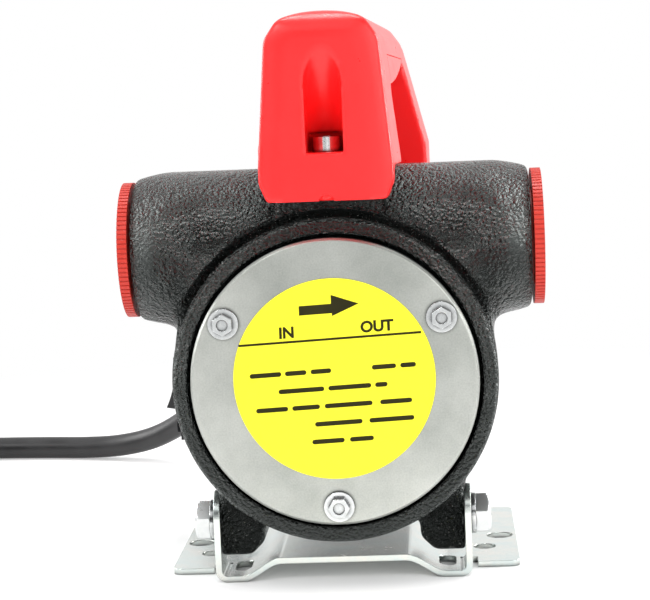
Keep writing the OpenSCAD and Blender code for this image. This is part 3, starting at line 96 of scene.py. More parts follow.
def mesh_object(name, points, faces, smooth=True):
    """A mesh object at the origin from an array of points in millimetres and a list or array of faces."""
    mesh = bpy.data.meshes.new(name)
    mesh.from_pydata(np.asarray(points) * MM, [], faces.tolist() if isinstance(faces, np.ndarray) else faces)
    mesh.update()
    if smooth:
        mesh.shade_smooth()
    return linked(name, mesh)


def outward(obj):
    """Turns the faces of a closed mesh outwards."""
    work = bmesh.new()
    work.from_mesh(obj.data)
    bmesh.ops.recalc_face_normals(work, faces=work.faces)
    work.to_mesh(obj.data)
    work.free()
    return obj


def once_round(steps):
    """Angles of equal steps once round."""
    return np.linspace(0, 2 * np.pi, steps, endpoint=False)


def grid_faces(rows, columns, wrap_rows=False):
    """Quads between rows of points. Each row is a closed ring, and the last row may join the first."""
    i = np.arange(rows if wrap_rows else rows - 1)
    i, j = np.meshgrid(i, np.arange(columns), indexing="ij")
    i2, j2 = (i + 1) % rows, (j + 1) % columns
    return np.stack([i * columns + j, i * columns + j2, i2 * columns + j2, i2 * columns + j], -1).reshape(-1, 4)


def tube(name, path, radius, sides, up=(0, 0, 1)):
    """A round tube with flat ends: point(i, a) = path[i] + radius * (cos a * side[i] + sin a * top[i]). The
    tangent is the difference of the neighbours, the side is tangent x up, and the top is side x tangent."""
    tangent = np.gradient(path, axis=0)
    tangent /= np.linalg.norm(tangent, axis=1, keepdims=True)
    side = np.cross(tangent, up)
    side /= np.linalg.norm(side, axis=1, keepdims=True)
    top = np.cross(side, tangent)
    a = once_round(sides)[:, None]
    rings = path[:, None] + radius * (np.cos(a) * side[:, None] + np.sin(a) * top[:, None])
    last = (len(path) - 1) * sides
    ends = [list(range(sides)), list(range(last, last + sides))]
    return outward(mesh_object(name, rings.reshape(-1, 3), grid_faces(len(path), sides).tolist() + ends))


def revolve(name, profile, centre, sides):
    """A closed profile of (along, out) turned about a line along Y: point(i, a) = centre + (out[i] * cos a,
    along[i], -out[i] * sin a)."""
    along, out = np.asarray(profile, float).T[:, :, None]
    a = once_round(sides)
    points = np.stack([out * np.cos(a), along + 0 * a, -out * np.sin(a)], -1) + centre
    return outward(mesh_object(name, points.reshape(-1, 3), grid_faces(len(profile), sides, wrap_rows=True)))


def smooth_line(points, steps):
    """A smooth line through points: each stretch is the cubic that leaves and meets its ends along the chord of
    their neighbours, sampled steps times."""
    p = np.asarray(points, float)
    a, b, c, d = p[np.r_[0, :len(p) - 2]], p[:-1], p[1:], p[np.r_[2:len(p), len(p) - 1]]
    t = np.linspace(0, 1, steps, endpoint=False)[None, :, None]
    a, b, c, d = (q[:, None] for q in (a, b, c, d))
    q = (2 * b + (c - a) * t + (2 * a - 5 * b + 4 * c - d) * t ** 2 + (3 * b - a - 3 * c + d) * t ** 3) / 2
    return np.vstack([q.reshape(-1, 3), p[-1:]])


# Implicit surfaces: a solid is a field of signed distances, below zero inside

PULLS, CREASE_PULLS = 6, 5
CREASE_REACH = 0.65  # cells from a crease within which a point is pulled onto it
SHARP_ANGLE = math.radians(62)
LEAST_SLOPE = 0.05  # keeps the step short where the field is flat


def joined(a, b, blend):
    """Union of two fields with a fillet: min(a, b) less h^2 * blend / 4, where h = 1 - |a - b| / blend."""
    h = np.maximum(blend - np.abs(a - b), 0) / blend
    return np.minimum(a, b) - h * h * blend / 4


def common(a, b, blend):
    """Intersection of two fields with a rounded edge."""
    return -joined(-a, -b, blend)


def box_field(x, y, z, low, high, rounding):
    """Distance to a box with rounded edges."""
    low, high = np.asarray(low, float) + rounding, np.asarray(high, float) - rounding
    d = [np.abs(v - (l + h) / 2) - (h - l) / 2 for v, l, h in zip((x, y, z), low, high)]
    outside = np.sqrt(sum(np.maximum(v, 0) ** 2 for v in d))
    return outside + np.minimum(np.max(d, 0), 0) - rounding


def rod_field(across, along, radius, low, high, rounding):
    """Distance to a round bar, from its distance across and its place along the axis."""
    d = np.stack([across - radius + rounding, np.abs(along - (low + high) / 2) - (high - low) / 2 + rounding])
    return np.sqrt((np.maximum(d, 0) ** 2).sum(0)) + np.minimum(d.max(0), 0) - rounding


def outline_field(u, v, outline):
    """Distance in a plane to a closed outline: the least distance to its sides, below zero inside."""
    outline = np.asarray(outline, float)
    least, inside = np.full(u.shape, 1e9), np.zeros(u.shape, bool)
    for a, b in zip(outline, np.roll(outline, -1, 0)):
        e = b - a
        k = np.clip(((u - a[0]) * e[0] + (v - a[1]) * e[1]) / (e @ e), 0, 1)
        least = np.minimum(least, (u - a[0] - k * e[0]) ** 2 + (v - a[1] - k * e[1]) ** 2)
        if a[1] != b[1]:
            inside ^= ((a[1] > v) != (b[1] > v)) & (u < e[0] * (v - a[1]) / e[1] + a[0])
    return np.where(inside, -1, 1) * np.sqrt(least)


def pulled(points, field, cell):
    """Points moved towards the field's zero surface: p - f * grad f / |grad f|^2, half a cell at most."""
    step = cell / 20
    value = field(*points.T)
    slope = np.stack([(field(*(points + step * np.eye(3)[k]).T) - value) / step for k in range(3)], -1)
    size = np.maximum((slope ** 2).sum(1), LEAST_SLOPE)
    return points - np.clip((value / size)[:, None] * slope, -cell / 2, cell / 2)


def surface_of(name, field, low, high, cell, crease=()):
    """The zero surface of a field. The field is sampled on a grid, each cell that the surface crosses gets one
    point, which is then pulled onto the surface along the gradient, and each grid edge that it crosses gets a
    quad of the four cells round it. Points near both fields of a crease are pulled onto the line they share."""
    axes = [np.arange(l - cell, h + 2 * cell, cell) for l, h in zip(low, high)]
    solid = field(*np.meshgrid(*axes, indexing="ij")) < 0
    count = np.zeros([n - 1 for n in solid.shape], int)
    for i, j, k in np.ndindex(2, 2, 2):
        count += solid[i:i + count.shape[0], j:j + count.shape[1], k:k + count.shape[2]]
    crossed = (count > 0) & (count < 8)
    number = np.full(count.shape, -1)
    number[crossed] = np.arange(crossed.sum())
    cells = np.argwhere(crossed)
    points = np.stack([axes[k][cells[:, k]] + cell / 2 for k in range(3)], -1)
    for _ in range(PULLS):
        points = pulled(points, field, cell)
    if crease:
        near = np.max([np.abs(part(*points.T)) for part in crease], 0) < cell * CREASE_REACH
        for _ in range(CREASE_PULLS):
            for part in crease:
                points[near] = pulled(points[near], part, cell)
    faces = []
    for k in range(3):
        a, b = np.moveaxis(solid, k, 0)[:-1], np.moveaxis(solid, k, 0)[1:]
        cell_number = np.moveaxis(number, k, 0)
        m, p, q = (np.argwhere((a != b)[:, 1:-1, 1:-1]) + [0, 1, 1]).T
        quad = np.stack([cell_number[m, p - 1, q - 1], cell_number[m, p, q - 1], cell_number[m, p, q],
                         cell_number[m, p - 1, q]], -1)
        turn = a[m, p, q] if k != 1 else ~a[m, p, q]
        faces.append(np.where(turn[:, None], quad, quad[:, ::-1]))
    obj = mesh_object(name, points, np.vstack(faces))
    if crease:
        obj.data.set_sharp_from_angle(angle=SHARP_ANGLE)
    return obj


# Finishes


def linear(colour):
    """An sRGB hex colour as the linear colour that a shader reads."""
    c = np.array([int(colour[i:i + 2], 16) for i in (1, 3, 5)]) / 255
    return (*np.where(c <= 0.04045, c / 12.92, ((c + 0.055) / 1.055) ** 2.4), 1)


def add(tree, kind, inputs=(), stops=(), **settings):
    """Adds a shader node with its settings, and for a colour ramp its two stops of (place, hex colour). Each
    input is a value, the socket that feeds it, or the node whose first output does."""
    node = tree.nodes.new("ShaderNode" + kind)
    for key, value in settings.items():
        setattr(node, key, value)
    for key, value in dict(inputs).items():
        if isinstance(value, bpy.types.Node):
            value = value.outputs[0]
        if isinstance(value, bpy.types.NodeSocket):
            tree.links.new(value, node.inputs[key])
        else:
            node.inputs[key].default_value = value
    for i, (place, colour) in enumerate(stops):
        node.color_ramp.elements[i].position = place
        node.color_ramp.elements[i].color = linear(colour)
    return node


def sized(place, size_mm, **more):
    """Inputs of a pattern whose patches are size_mm across."""
    return {"Vector": place, "Scale": 1 / (size_mm * MM), **more}


def new_finish(name):
    """An empty material, its node tree, and the object coordinates that its patterns read."""
    material = bpy.data.materials.new(name)
    material.use_nodes = True
    tree = material.node_tree
    tree.nodes.clear()
    return material, tree, add(tree, "TexCoord").outputs["Object"]


def end_finish(material, inputs):
    """Ends a material in a principled shader with these inputs."""
    tree = material.node_tree
    add(tree, "OutputMaterial", {"Surface": add(tree, "BsdfPrincipled", inputs)})
    return material


def plain_finish(name, colours, rough, metallic=0.0, grain_mm=0.6, depth_mm=0.02, edge_mm=0.0, specular=0.5):
    """A moulded, machined or painted finish: two close shades in soft patches of 12 mm, a fine grain that the
    light catches, and edges rounded by edge_mm."""
    material, tree, place = new_finish(name)
    patches = add(tree, "TexNoise", sized(place, 12.0, Detail=3.0))
    colour = add(tree, "ValToRGB", {"Fac": patches}, [(0.35, colours[0]), (0.65, colours[1])])
    spread = add(tree, "MapRange", {"Value": patches, "From Min": 0.3, "From Max": 0.7, "To Min": rough - 0.06,
                                    "To Max": rough + 0.06})
    grain = add(tree, "TexNoise", sized(place, grain_mm))
    relief = {"Height": grain, "Distance": depth_mm * MM}
    if edge_mm:
        relief["Normal"] = add(tree, "Bevel", {"Radius": edge_mm * MM}, samples=6)
    return end_finish(material, {"Base Color": colour, "Roughness": spread, "Normal": add(tree, "Bump", relief),
                                 "Metallic": metallic, "Specular IOR Level": specular})


def wrinkled_cast_iron():
    """Sand-cast iron under a thick black wrinkle coat: small sharp glints on black, from blunt wrinkles 1.25 mm
    apart with grit of half a millimetre on them, and pale specks that are painted glints. The wrinkles are
    drawn deeper than the real ones, so that they show."""
    material, tree, place = new_finish("wrinkle_coated_cast_iron")
    bend = add(tree, "TexNoise", sized(place, 2.4, Detail=1.0))
    bent = add(tree, "VectorMath", {0: bend.outputs["Color"], 1: (1.4 * MM,) * 3, 2: place}, operation="MULTIPLY_ADD")
    wrinkles = add(tree, "TexVoronoi", sized(bent, 1.25, Smoothness=0.3), feature="SMOOTH_F1")
    grit = add(tree, "TexNoise", sized(place, 0.5, Roughness=0.6))
    height = add(tree, "Math", {0: wrinkles, 1: -1.6, 2: grit}, operation="MULTIPLY_ADD")
    coat = add(tree, "ValToRGB", {"Fac": height}, [(0.0, "#040504"), (0.55, "#141514")])
    # pale specks mixed into the coat's colour: painted glints
    grains = add(tree, "TexNoise", sized(place, 0.5, Detail=1.0))
    painted_glints = add(tree, "MapRange", {"Value": grains, "From Min": 0.7, "From Max": 0.8})
    coat_and_painted_glints = add(tree, "Mix", {0: painted_glints, 6: coat, 7: linear("#a2a29c")}, data_type="RGBA")
    patches = add(tree, "TexNoise", sized(place, 14.0))
    spread = add(tree, "MapRange", {"Value": patches, "From Min": 0.35, "From Max": 0.65, "To Min": 0.2,
                                    "To Max": 0.11})
    bump = add(tree, "Bump", {"Height": height, "Distance": 3.0 * MM})
    return end_finish(material, {"Base Color": coat_and_painted_glints.outputs[2], "Roughness": spread, "Normal": bump, "IOR": 1.56,
                                 "Specular IOR Level": 1.0, "Specular Tint": linear("#f6fffb")})


def zinc_plate(name, colours, rough, grain_mm=0.5, depth_mm=0.012, edge_mm=0.35, cloud_mm=9.0):
    """Bright zinc plate on rolled or turned steel: a cool pale metal with faint cloudy patches, fine rolling
    marks, and painted shade that darkens its corners."""
    material, tree, place = new_finish(name)
    cloud = add(tree, "TexNoise", sized(place, cloud_mm, Detail=4.0, Roughness=0.6))
    marks = add(tree, "TexNoise", sized(place, grain_mm * 1.5, Detail=3.0))
    shade = add(tree, "Math", {0: marks, 1: 0.35, 2: cloud}, operation="MULTIPLY_ADD")
    colour = add(tree, "ValToRGB", {"Fac": shade}, [(0.45, colours[0]), (0.9, colours[1])])
    # painted shade: the colour darkens where the plate closes in on other surfaces
    corner = add(tree, "AmbientOcclusion", {"Distance": 2.2 * MM}, samples=8)
    painted_corner_shade = add(tree, "MapRange", {"Value": corner.outputs["AO"], "From Min": 0.4, "From Max": 0.85, "To Min": 0.04})
    metal = add(tree, "VectorMath", {0: colour, "Scale": painted_corner_shade}, operation="SCALE")
    spread = add(tree, "MapRange", {"Value": cloud, "To Min": rough - 0.1, "To Max": rough + 0.1})
    grain = add(tree, "TexNoise", sized(place, grain_mm, Detail=3.0))
    bevel = add(tree, "Bevel", {"Radius": edge_mm * MM}, samples=6)
    bump = add(tree, "Bump", {"Height": grain, "Distance": depth_mm * MM, "Normal": bevel})
    return end_finish(material, {"Base Color": metal, "Roughness": spread, "Normal": bump, "Metallic": 1.0})


def handle_plastic(colour):
    """Glossy moulded plastic that lets a little red light through: a fine spark-eroded grain of 0.5 mm and a
    slow unevenness of the flow. The real grain is finer, and is drawn this coarse so that it shows."""
    material, tree, place = new_finish("glossy_red_abs")
    flow = add(tree, "TexNoise", sized(place, 25.0, Detail=1.0))
    shade = add(tree, "ValToRGB", {"Fac": flow}, [(0.3, colour), (0.7, "#ff2224")])
    polish = add(tree, "TexNoise", sized(place, 6.0, Detail=3.0))
    spread = add(tree, "MapRange", {"Value": polish, "To Min": 0.24, "To Max": 0.36})
    grain = add(tree, "TexNoise", sized(place, 0.5, Detail=3.0))
    fine = add(tree, "Bump", {"Height": grain, "Distance": 0.03 * MM})
    waves = add(tree, "Bump", {"Height": flow, "Distance": 0.5 * MM, "Strength": 0.6, "Normal": fine})
    return end_finish(material, {"Base Color": shade, "Roughness": spread, "Normal": waves, "Subsurface Weight": 0.4,
                                 "Subsurface Radius": (1.0, 0.12, 0.1), "Subsurface Scale": 2.5 * MM})


def hook_and_loop():
    """Woven nylon strap: a plain weave with 0.63 mm between threads, matt, with a soft sheen."""
    material, tree, place = new_finish("woven_nylon_strap")
    # a wave texture repeats every pi / 10 of its scaled coordinate
    warp, weft = (add(tree, "TexWave", sized(place, 0.6286 * 10 / math.pi), bands_direction=axis)
                  for axis in ("X", "Y"))
    weave = add(tree, "Math", {0: warp.outputs["Fac"], 1: weft.outputs["Fac"]}, operation="MULTIPLY")
    shade = add(tree, "ValToRGB", {"Fac": weave}, [(0.1, "#141415"), (0.8, "#2b2b2d")])
    bump = add(tree, "Bump", {"Height": weave, "Distance": 0.25 * MM, "Strength": 0.8})
    return end_finish(material, {"Base Color": shade, "Roughness": 0.8, "Normal": bump, "Sheen Weight": 0.3})


def dress(material, *nodes):
    """Gives a finish to CAD nodes."""
    for name in nodes:
        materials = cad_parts[name].data.materials
        materials.clear()
        materials.append(material)


def finished(obj, material, slot, *nodes):
    """Gives a new piece its finish and hides the CAD nodes that it stands for; the slot is not used. All ride on the
    base.
    """
    obj.data.materials.append(material)
    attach(obj, BASE)
    if nodes:
        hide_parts(*nodes)
    return obj


# Sizes and colours

PICTURE_WIDTH = 650


class PumpCamera(bpy.types.PropertyGroup):
    focal_px: bpy.props.FloatProperty(
        name="Focal length", description="Focal length in pixels of a 650 pixel wide frame", default=2000.0)
    place: bpy.props.FloatVectorProperty(
        name="Place", description="Place of the camera", default=(0.0377, -0.738, 0.1756), subtype="TRANSLATION",
        unit="LENGTH")
    yaw: bpy.props.FloatProperty(
        name="Yaw", description="Turn to the right from the pump's length", default=-0.0596, subtype="ANGLE")
    pitch: bpy.props.FloatProperty(
        name="Pitch", description="Tilt below the horizon", default=0.114, subtype="ANGLE")
    roll: bpy.props.FloatProperty(
        name="Roll", description="Turn about the line of sight", default=0.0412, subtype="ANGLE")


class PumpCord(bpy.types.PropertyGroup):
    diameter: bpy.props.FloatProperty(
        name="Cord diameter", description="Diameter of the power cord", default=0.010, unit="LENGTH")
    coil_turns: bpy.props.FloatProperty(
        name="Coil turns", description="Turns of the put-away coil", default=4.25)
    coil_radius: bpy.props.FloatProperty(
        name="Coil radius", description="Radius of the coil's outer turn", default=0.068, unit="LENGTH")
    tie_width: bpy.props.FloatProperty(
        name="Tie width", description="Width of the strap round the coil", default=0.014, unit="LENGTH")


class PumpCasting(bpy.types.PropertyGroup):
    rim_radius: bpy.props.FloatProperty(
        name="Rim radius", description="Outer radius of the casting's round rim", default=0.0555, unit="LENGTH")
    rim_step: bpy.props.FloatProperty(
        name="Rim step", description="How far the rim stands out from the web behind it", default=0.0034,
        unit="LENGTH")
    beam_radius: bpy.props.FloatProperty(
        name="Beam radius", description="Radius of the beam that holds the ports", default=0.0267, unit="LENGTH")
    boss_end_radius: bpy.props.FloatProperty(
        name="Boss radius", description="Radius of a port boss at its end face", default=0.0243, unit="LENGTH")
    fillet: bpy.props.FloatProperty(
        name="Fillet", description="Blend between the beam and the drum", default=0.009, unit="LENGTH")
    cell: bpy.props.FloatProperty(
        name="Mesh size", description="Size of the surface's cells", default=0.0011, unit="LENGTH")


class PumpHandle(bpy.types.PropertyGroup):
    edge: bpy.props.FloatProperty(
        name="Edge rounding", description="Rounding of the handle's edges", default=0.0010, unit="LENGTH")
    cell: bpy.props.FloatProperty(
        name="Mesh size", description="Size of the surface's cells", default=0.0010, unit="LENGTH")
    colour: bpy.props.StringProperty(
        name="Colour", description="Red of the handle, as an sRGB hex value", default="#f81c1e")


class PumpLabel(bpy.types.PropertyGroup):
    tilt: bpy.props.FloatProperty(
        name="Tilt", description="Turn of the label's print", default=math.radians(2.5), subtype="ANGLE")
    letter_height: bpy.props.FloatProperty(
        name="Letter height", description="Height of the print's letters", default=0.0042, unit="LENGTH")
    colour: bpy.props.StringProperty(
        name="Colour", description="Yellow of the label, as an sRGB hex value", default="#fcf31d")


SETTINGS = {"pump_camera": PumpCamera, "pump_cord": PumpCord, "pump_casting": PumpCasting, "pump_handle": PumpHandle,
            "pump_label": PumpLabel}

# Cord route from the strain relief to the coil, and from the coil to the connector, in millimetres
ROUTE = [(-49.6, 74, 53.4), (-49.6, 86, 53.4), (-50.6, 100, 51.6), (-54.5, 114, 46.8), (-62, 128, 38.6),
         (-72, 141, 28.6), (-84, 153, 18.8), (-98, 163, 11.2), (-114, 171, 6.8), (-131, 176.5, 5.2), (-149, 180, 5),
         (-167, 182, 5), (-185, 183, 5), (-204, 183, 5), (-222, 183, 5), (-240, 183, 5)]
TAIL = [(-308, 115, 15.6), (-308.2, 103, 15.4), (-309, 91, 13.8), (-310, 79, 10.9), (-311, 67, 7.8),
        (-311.5, 55, 5.6), (-311.5, 43, 5), (-311.5, 31, 5), (-311.5, 19, 5)]
COIL_CENTRE = (-240.0, 115.0)
COIL_PITCH = 10.6
COIL_STEPS = 72  # points in a turn
CLIMB_TURNS = 0.2
CORD_SIDES = 20
TIE_THICK, TIE_GAP, TIE_ANGLE = 1.5, 0.3, 270.0
RELIEF_RINGS = 8


def coil_path(turns, radius, diameter):
    """The coil winds inwards along the floor, climbs over a fifth of a turn and winds outwards on top: the
    reach shrinks and grows by one pitch a turn, and the height rises by one pitch by 3k^2 - 2k^3. It is
    lifted a little over the strap by cos^6 of the angle from it."""
    t = np.linspace(0, turns, int(turns * COIL_STEPS) + 1)
    a = np.radians(90) + 2 * np.pi * t
    reach = radius - COIL_PITCH * np.where(t < turns / 2, t, turns - t)
    k = np.clip((t - turns / 2 + CLIMB_TURNS / 2) / CLIMB_TURNS, 0, 1)
    lift = (TIE_THICK + TIE_GAP) * np.maximum(np.cos(a - np.radians(TIE_ANGLE)), 0) ** 6
    z = diameter / 2 + COIL_PITCH * k * k * (3 - 2 * k) + lift
    return np.stack([COIL_CENTRE[0] + reach * np.cos(a), COIL_CENTRE[1] + reach * np.sin(a), z], -1)


class PUMP_OT_camera(bpy.types.Operator):
    """Places the camera at the photograph's viewing angle"""
    bl_idname = "pump.camera"
    bl_label = "Camera"

    def execute(self, context):
        s = context.scene.pump_camera
        right = Vector((math.cos(s.yaw), -math.sin(s.yaw), 0))
        level = Vector((math.sin(s.yaw), math.cos(s.yaw), 0))
        ahead = level * math.cos(s.pitch) - Vector((0, 0, 1)) * math.sin(s.pitch)
        up = level * math.sin(s.pitch) + Vector((0, 0, 1)) * math.cos(s.pitch)
        c, n = math.cos(s.roll), math.sin(s.roll)
        data = bpy.data.cameras.new("pump_camera")
        data.sensor_fit, data.sensor_width = "HORIZONTAL", 36.0
        data.lens = data.sensor_width * s.focal_px / PICTURE_WIDTH
        data.clip_start, data.clip_end = 0.05, 20.0
        camera = linked("pump_camera", data)
        camera.matrix_world = Matrix.Translation(Vector(s.place)) @ Matrix(
            (c * right - n * up, n * right + c * up, -ahead)).transposed().to_4x4()
        context.scene.camera = camera
        return {"FINISHED"}


class PUMP_OT_cord(bpy.types.Operator):
    """Makes the power cord with its coil, strap and strain relief"""
    bl_idname = "pump.cord"
    bl_label = "Power cord"

    def execute(self, context):
        s = context.scene.pump_cord
        d = s.diameter / MM
        coil = coil_path(s.coil_turns, s.coil_radius / MM, d)
        path = np.vstack([smooth_line(ROUTE, 6)[:-1], coil[:-1], smooth_line(TAIL, 4)])
        cord = tube("power_cord_sheath", path, d / 2, CORD_SIDES)
        sheath = plain_finish("soft_pvc_sheath", ("#1b1b1c", "#262627"), 0.42, grain_mm=0.5)
        finished(cord, sheath, "cord_black", "power_cord", "power_cord_coil", "power_cord_tail")
        strap = self.strap(s.tie_width / MM / 2)
        self.inner_lead(d, sheath)
        self.relief(d)
        return {"FINISHED"}

    def strap(self, half_width):
        """A strap round the bundle: a ring carried across the turns, squared off by raising cos and sin to
        0.42 with their signs kept, with thin hems."""
        low, high = corners("cord_tie")
        middle, half = (low + high) / 2, (high - low) / 2
        a = once_round(120)
        ring = np.stack([np.cos(a), np.sin(a)])
        ring = np.sign(ring) * np.abs(ring) ** 0.42
        hem, hem_inset, inner = half_width - 0.5, 0.35, TIE_THICK - 0.3
        rows = [(-half_width, hem_inset), (-hem, 0), (hem, 0), (half_width, hem_inset), (half_width, inner),
                (-half_width, inner)]
        points = np.vstack([np.stack([np.full(len(a), middle[0] + x), middle[1] + ring[0] * (half[1] - inset),
                                      middle[2] + ring[1] * (half[2] - inset)], -1) for x, inset in rows])
        obj = outward(mesh_object("coil_strap", points, grid_faces(len(rows), len(a), wrap_rows=True)))
        return finished(obj, hook_and_loop(), "tie_black", "cord_tie")

    def inner_lead(self, d, sheath):
        """The stretch of the cord inside the gland and the switch box, 0.2 mm short of the outer stretch."""
        x, y, z = ROUTE[0]
        path = np.linspace((x, corners("cable_gland")[0][1] - 6, z), (x, y - 0.2, z), 12)
        finished(tube("cord_in_gland", path, d / 2 - 0.05, CORD_SIDES), sheath, "cord_black")

    def relief(self, d):
        """A tapered sleeve with eight rings cut into it: the radius falls in a straight line, less a groove
        of a raised cosine."""
        low, high = corners("strain_relief")
        middle = (low + high) / 2
        length = high[1] - low[1]
        along = np.linspace(0, length, 12 * RELIEF_RINGS + 1)
        taper = np.interp(along, (0, length), ((high[0] - low[0]) / 2, d / 2 + 1))
        groove = 0.5 * np.clip(np.cos(2 * np.pi * RELIEF_RINGS * along / length) - 0.2, 0, 1)
        groove[:8] = groove[-6:] = 0  # the ends stay plain
        bore = d / 2 + 0.1
        profile = np.vstack([np.stack([along, taper - groove], -1), [(length, bore), (0, bore)]])
        obj = revolve("strain_relief_sleeve", profile, (middle[0], low[1], middle[2]), 48)
        finished(obj, plain_finish("moulded_rubber", ("#161617", "#202021"), 0.55, grain_mm=0.4), "seal_rubber",
                 "strain_relief")


class PUMP_OT_casting(bpy.types.Operator):
    """Makes the cast pump body with its fillets, and the round rim in front of it"""
    bl_idname = "pump.casting"
    bl_label = "Cast body"

    def execute(self, context):
        s = context.scene.pump_casting
        rim_r, beam_r, boss_r = s.rim_radius / MM, s.beam_radius / MM, s.boss_end_radius / MM
        fillet, front, half = s.fillet / MM, FRONT_Y + 2, BODY_HIGH[0]
        web_front = front + s.rim_step / MM
        plate_r = (PLATE_HIGH[0] - PLATE_LOW[0]) / 2
        back, chamber_back = corners("motor_flange")[0][1], corners("pump_rotor")[1][1]
        taper, flat_start, flat_length, flat_depth = 12.5, 22, 14, 6
        # the washers lie on the bracket's ears, and the ears on the feet
        foot_in, foot_out, foot_z, foot_chamfer = 27, WASHERS_HIGH[0] - 3.9, BODY_LOW[2], 31.8
        spigot_r, bearing_r, shaft_r = 40.2, 13, 7
        chamber_r, chamber_z = 30, AXIS_Z - 3.6
        port_r, mouth_r, mouth_length, valve_r = 15.15, 16.75, 14.5, 7.5
        channel_r, channel_out, channel_in = 2.1, 1.1, 0.5

        def field(x, y, z):
            """Drum, port beam with its flat front, web, handle pad and feet, joined with fillets, less a
            shallow channel round the rim and the bores of the cover, motor, rotor, shaft, ports and valve."""
            ax = np.abs(x)
            r, q = np.hypot(x, z - AXIS_Z), np.hypot(y - PORT_Y, z - PORT_Z)
            drum = rod_field(r, y, rim_r - 0.5, web_front, back - 0.4, 1.0)
            narrowing = np.clip((ax - half + taper) / taper, 0, 1) ** 1.5
            beam = common(q - (beam_r + (boss_r - beam_r) * narrowing), ax - half, 2.0)
            flat = np.clip((ax - half + flat_start) / flat_length, 0, 1)
            beam = common(beam, web_front - 0.6 - flat_depth * flat - y, 7)
            web = box_field(ax, y, z, (-1, web_front, AXIS_Z), (50.5, back - 5, PORT_Z), 3)
            pad = box_field(ax, y, z, (-30, FRONT_Y + 4, PORT_Z), (18, FRONT_Y + 44, PAD_Z), 1.2)
            foot = box_field(ax, y, z, (foot_in, FRONT_Y + 13.2, foot_z), (foot_out, FRONT_Y + 39.2, AXIS_Z - 20), 1.2)
            foot = common(foot, (foot_chamfer - ax + foot_z - z) * 0.7, 1.5)
            shape = joined(drum, joined(beam, web, 6), fillet)
            shape = joined(joined(shape, foot, 6), pad, 2.5)
            channel = np.hypot(r - rim_r - channel_out, y - web_front + channel_in) - channel_r
            shape = common(shape, -channel, 0.8)
            for bore in ((r, y, plate_r + 3.4, FRONT_Y - 20, FRONT_Y + 5, 0.1),
                         (r, y, spigot_r, back, back + 40, 0.1),
                         (np.hypot(x, z - chamber_z), y, chamber_r, FRONT_Y, chamber_back + 0.2, 0.3),
                         (r, y, bearing_r, back - 10, back + 9, 0.3),
                         (r, y, shaft_r, FRONT_Y, back + 9, 0.1),
                         (q, ax, port_r, 20, half + 9, 0.3),
                         (q, ax, mouth_r, half - mouth_length, half + 9, 0.3),
                         (q, x, valve_r, -30, 14, 0.3)):
                shape = np.maximum(shape, -rod_field(*bore))
            return shape

        finish = wrinkled_cast_iron()
        body = surface_of("cast_body", field, BODY_LOW - 1, BODY_HIGH + 1, s.cell / MM)
        finished(body, finish, "cast_black", "pump_body")
        # the rim is a ring in front of the drum, with both front edges rounded by quarter circles
        bore, edge, bore_edge = plate_r + 1.4, 1.5, 0.6
        a = np.radians(np.linspace(0, 90, 7))
        outer = np.stack([edge - edge * np.sin(a), rim_r - edge + edge * np.cos(a)], -1)
        inner = np.stack([bore_edge - bore_edge * np.sin(a), bore + bore_edge - bore_edge * np.cos(a)], -1)
        depth = back - front
        profile = np.vstack([[(depth - 2.6, rim_r - 3), (depth - 1.2, rim_r - 2), (depth - 0.6, rim_r - 0.8),
                              (depth - 1.4, rim_r)], outer, inner[::-1], [(3.0, bore), (3.0, rim_r - 3)]])
        finished(revolve("cast_rim", profile, (0, front, AXIS_Z), 192), finish, "cast_black")
        return {"FINISHED"}


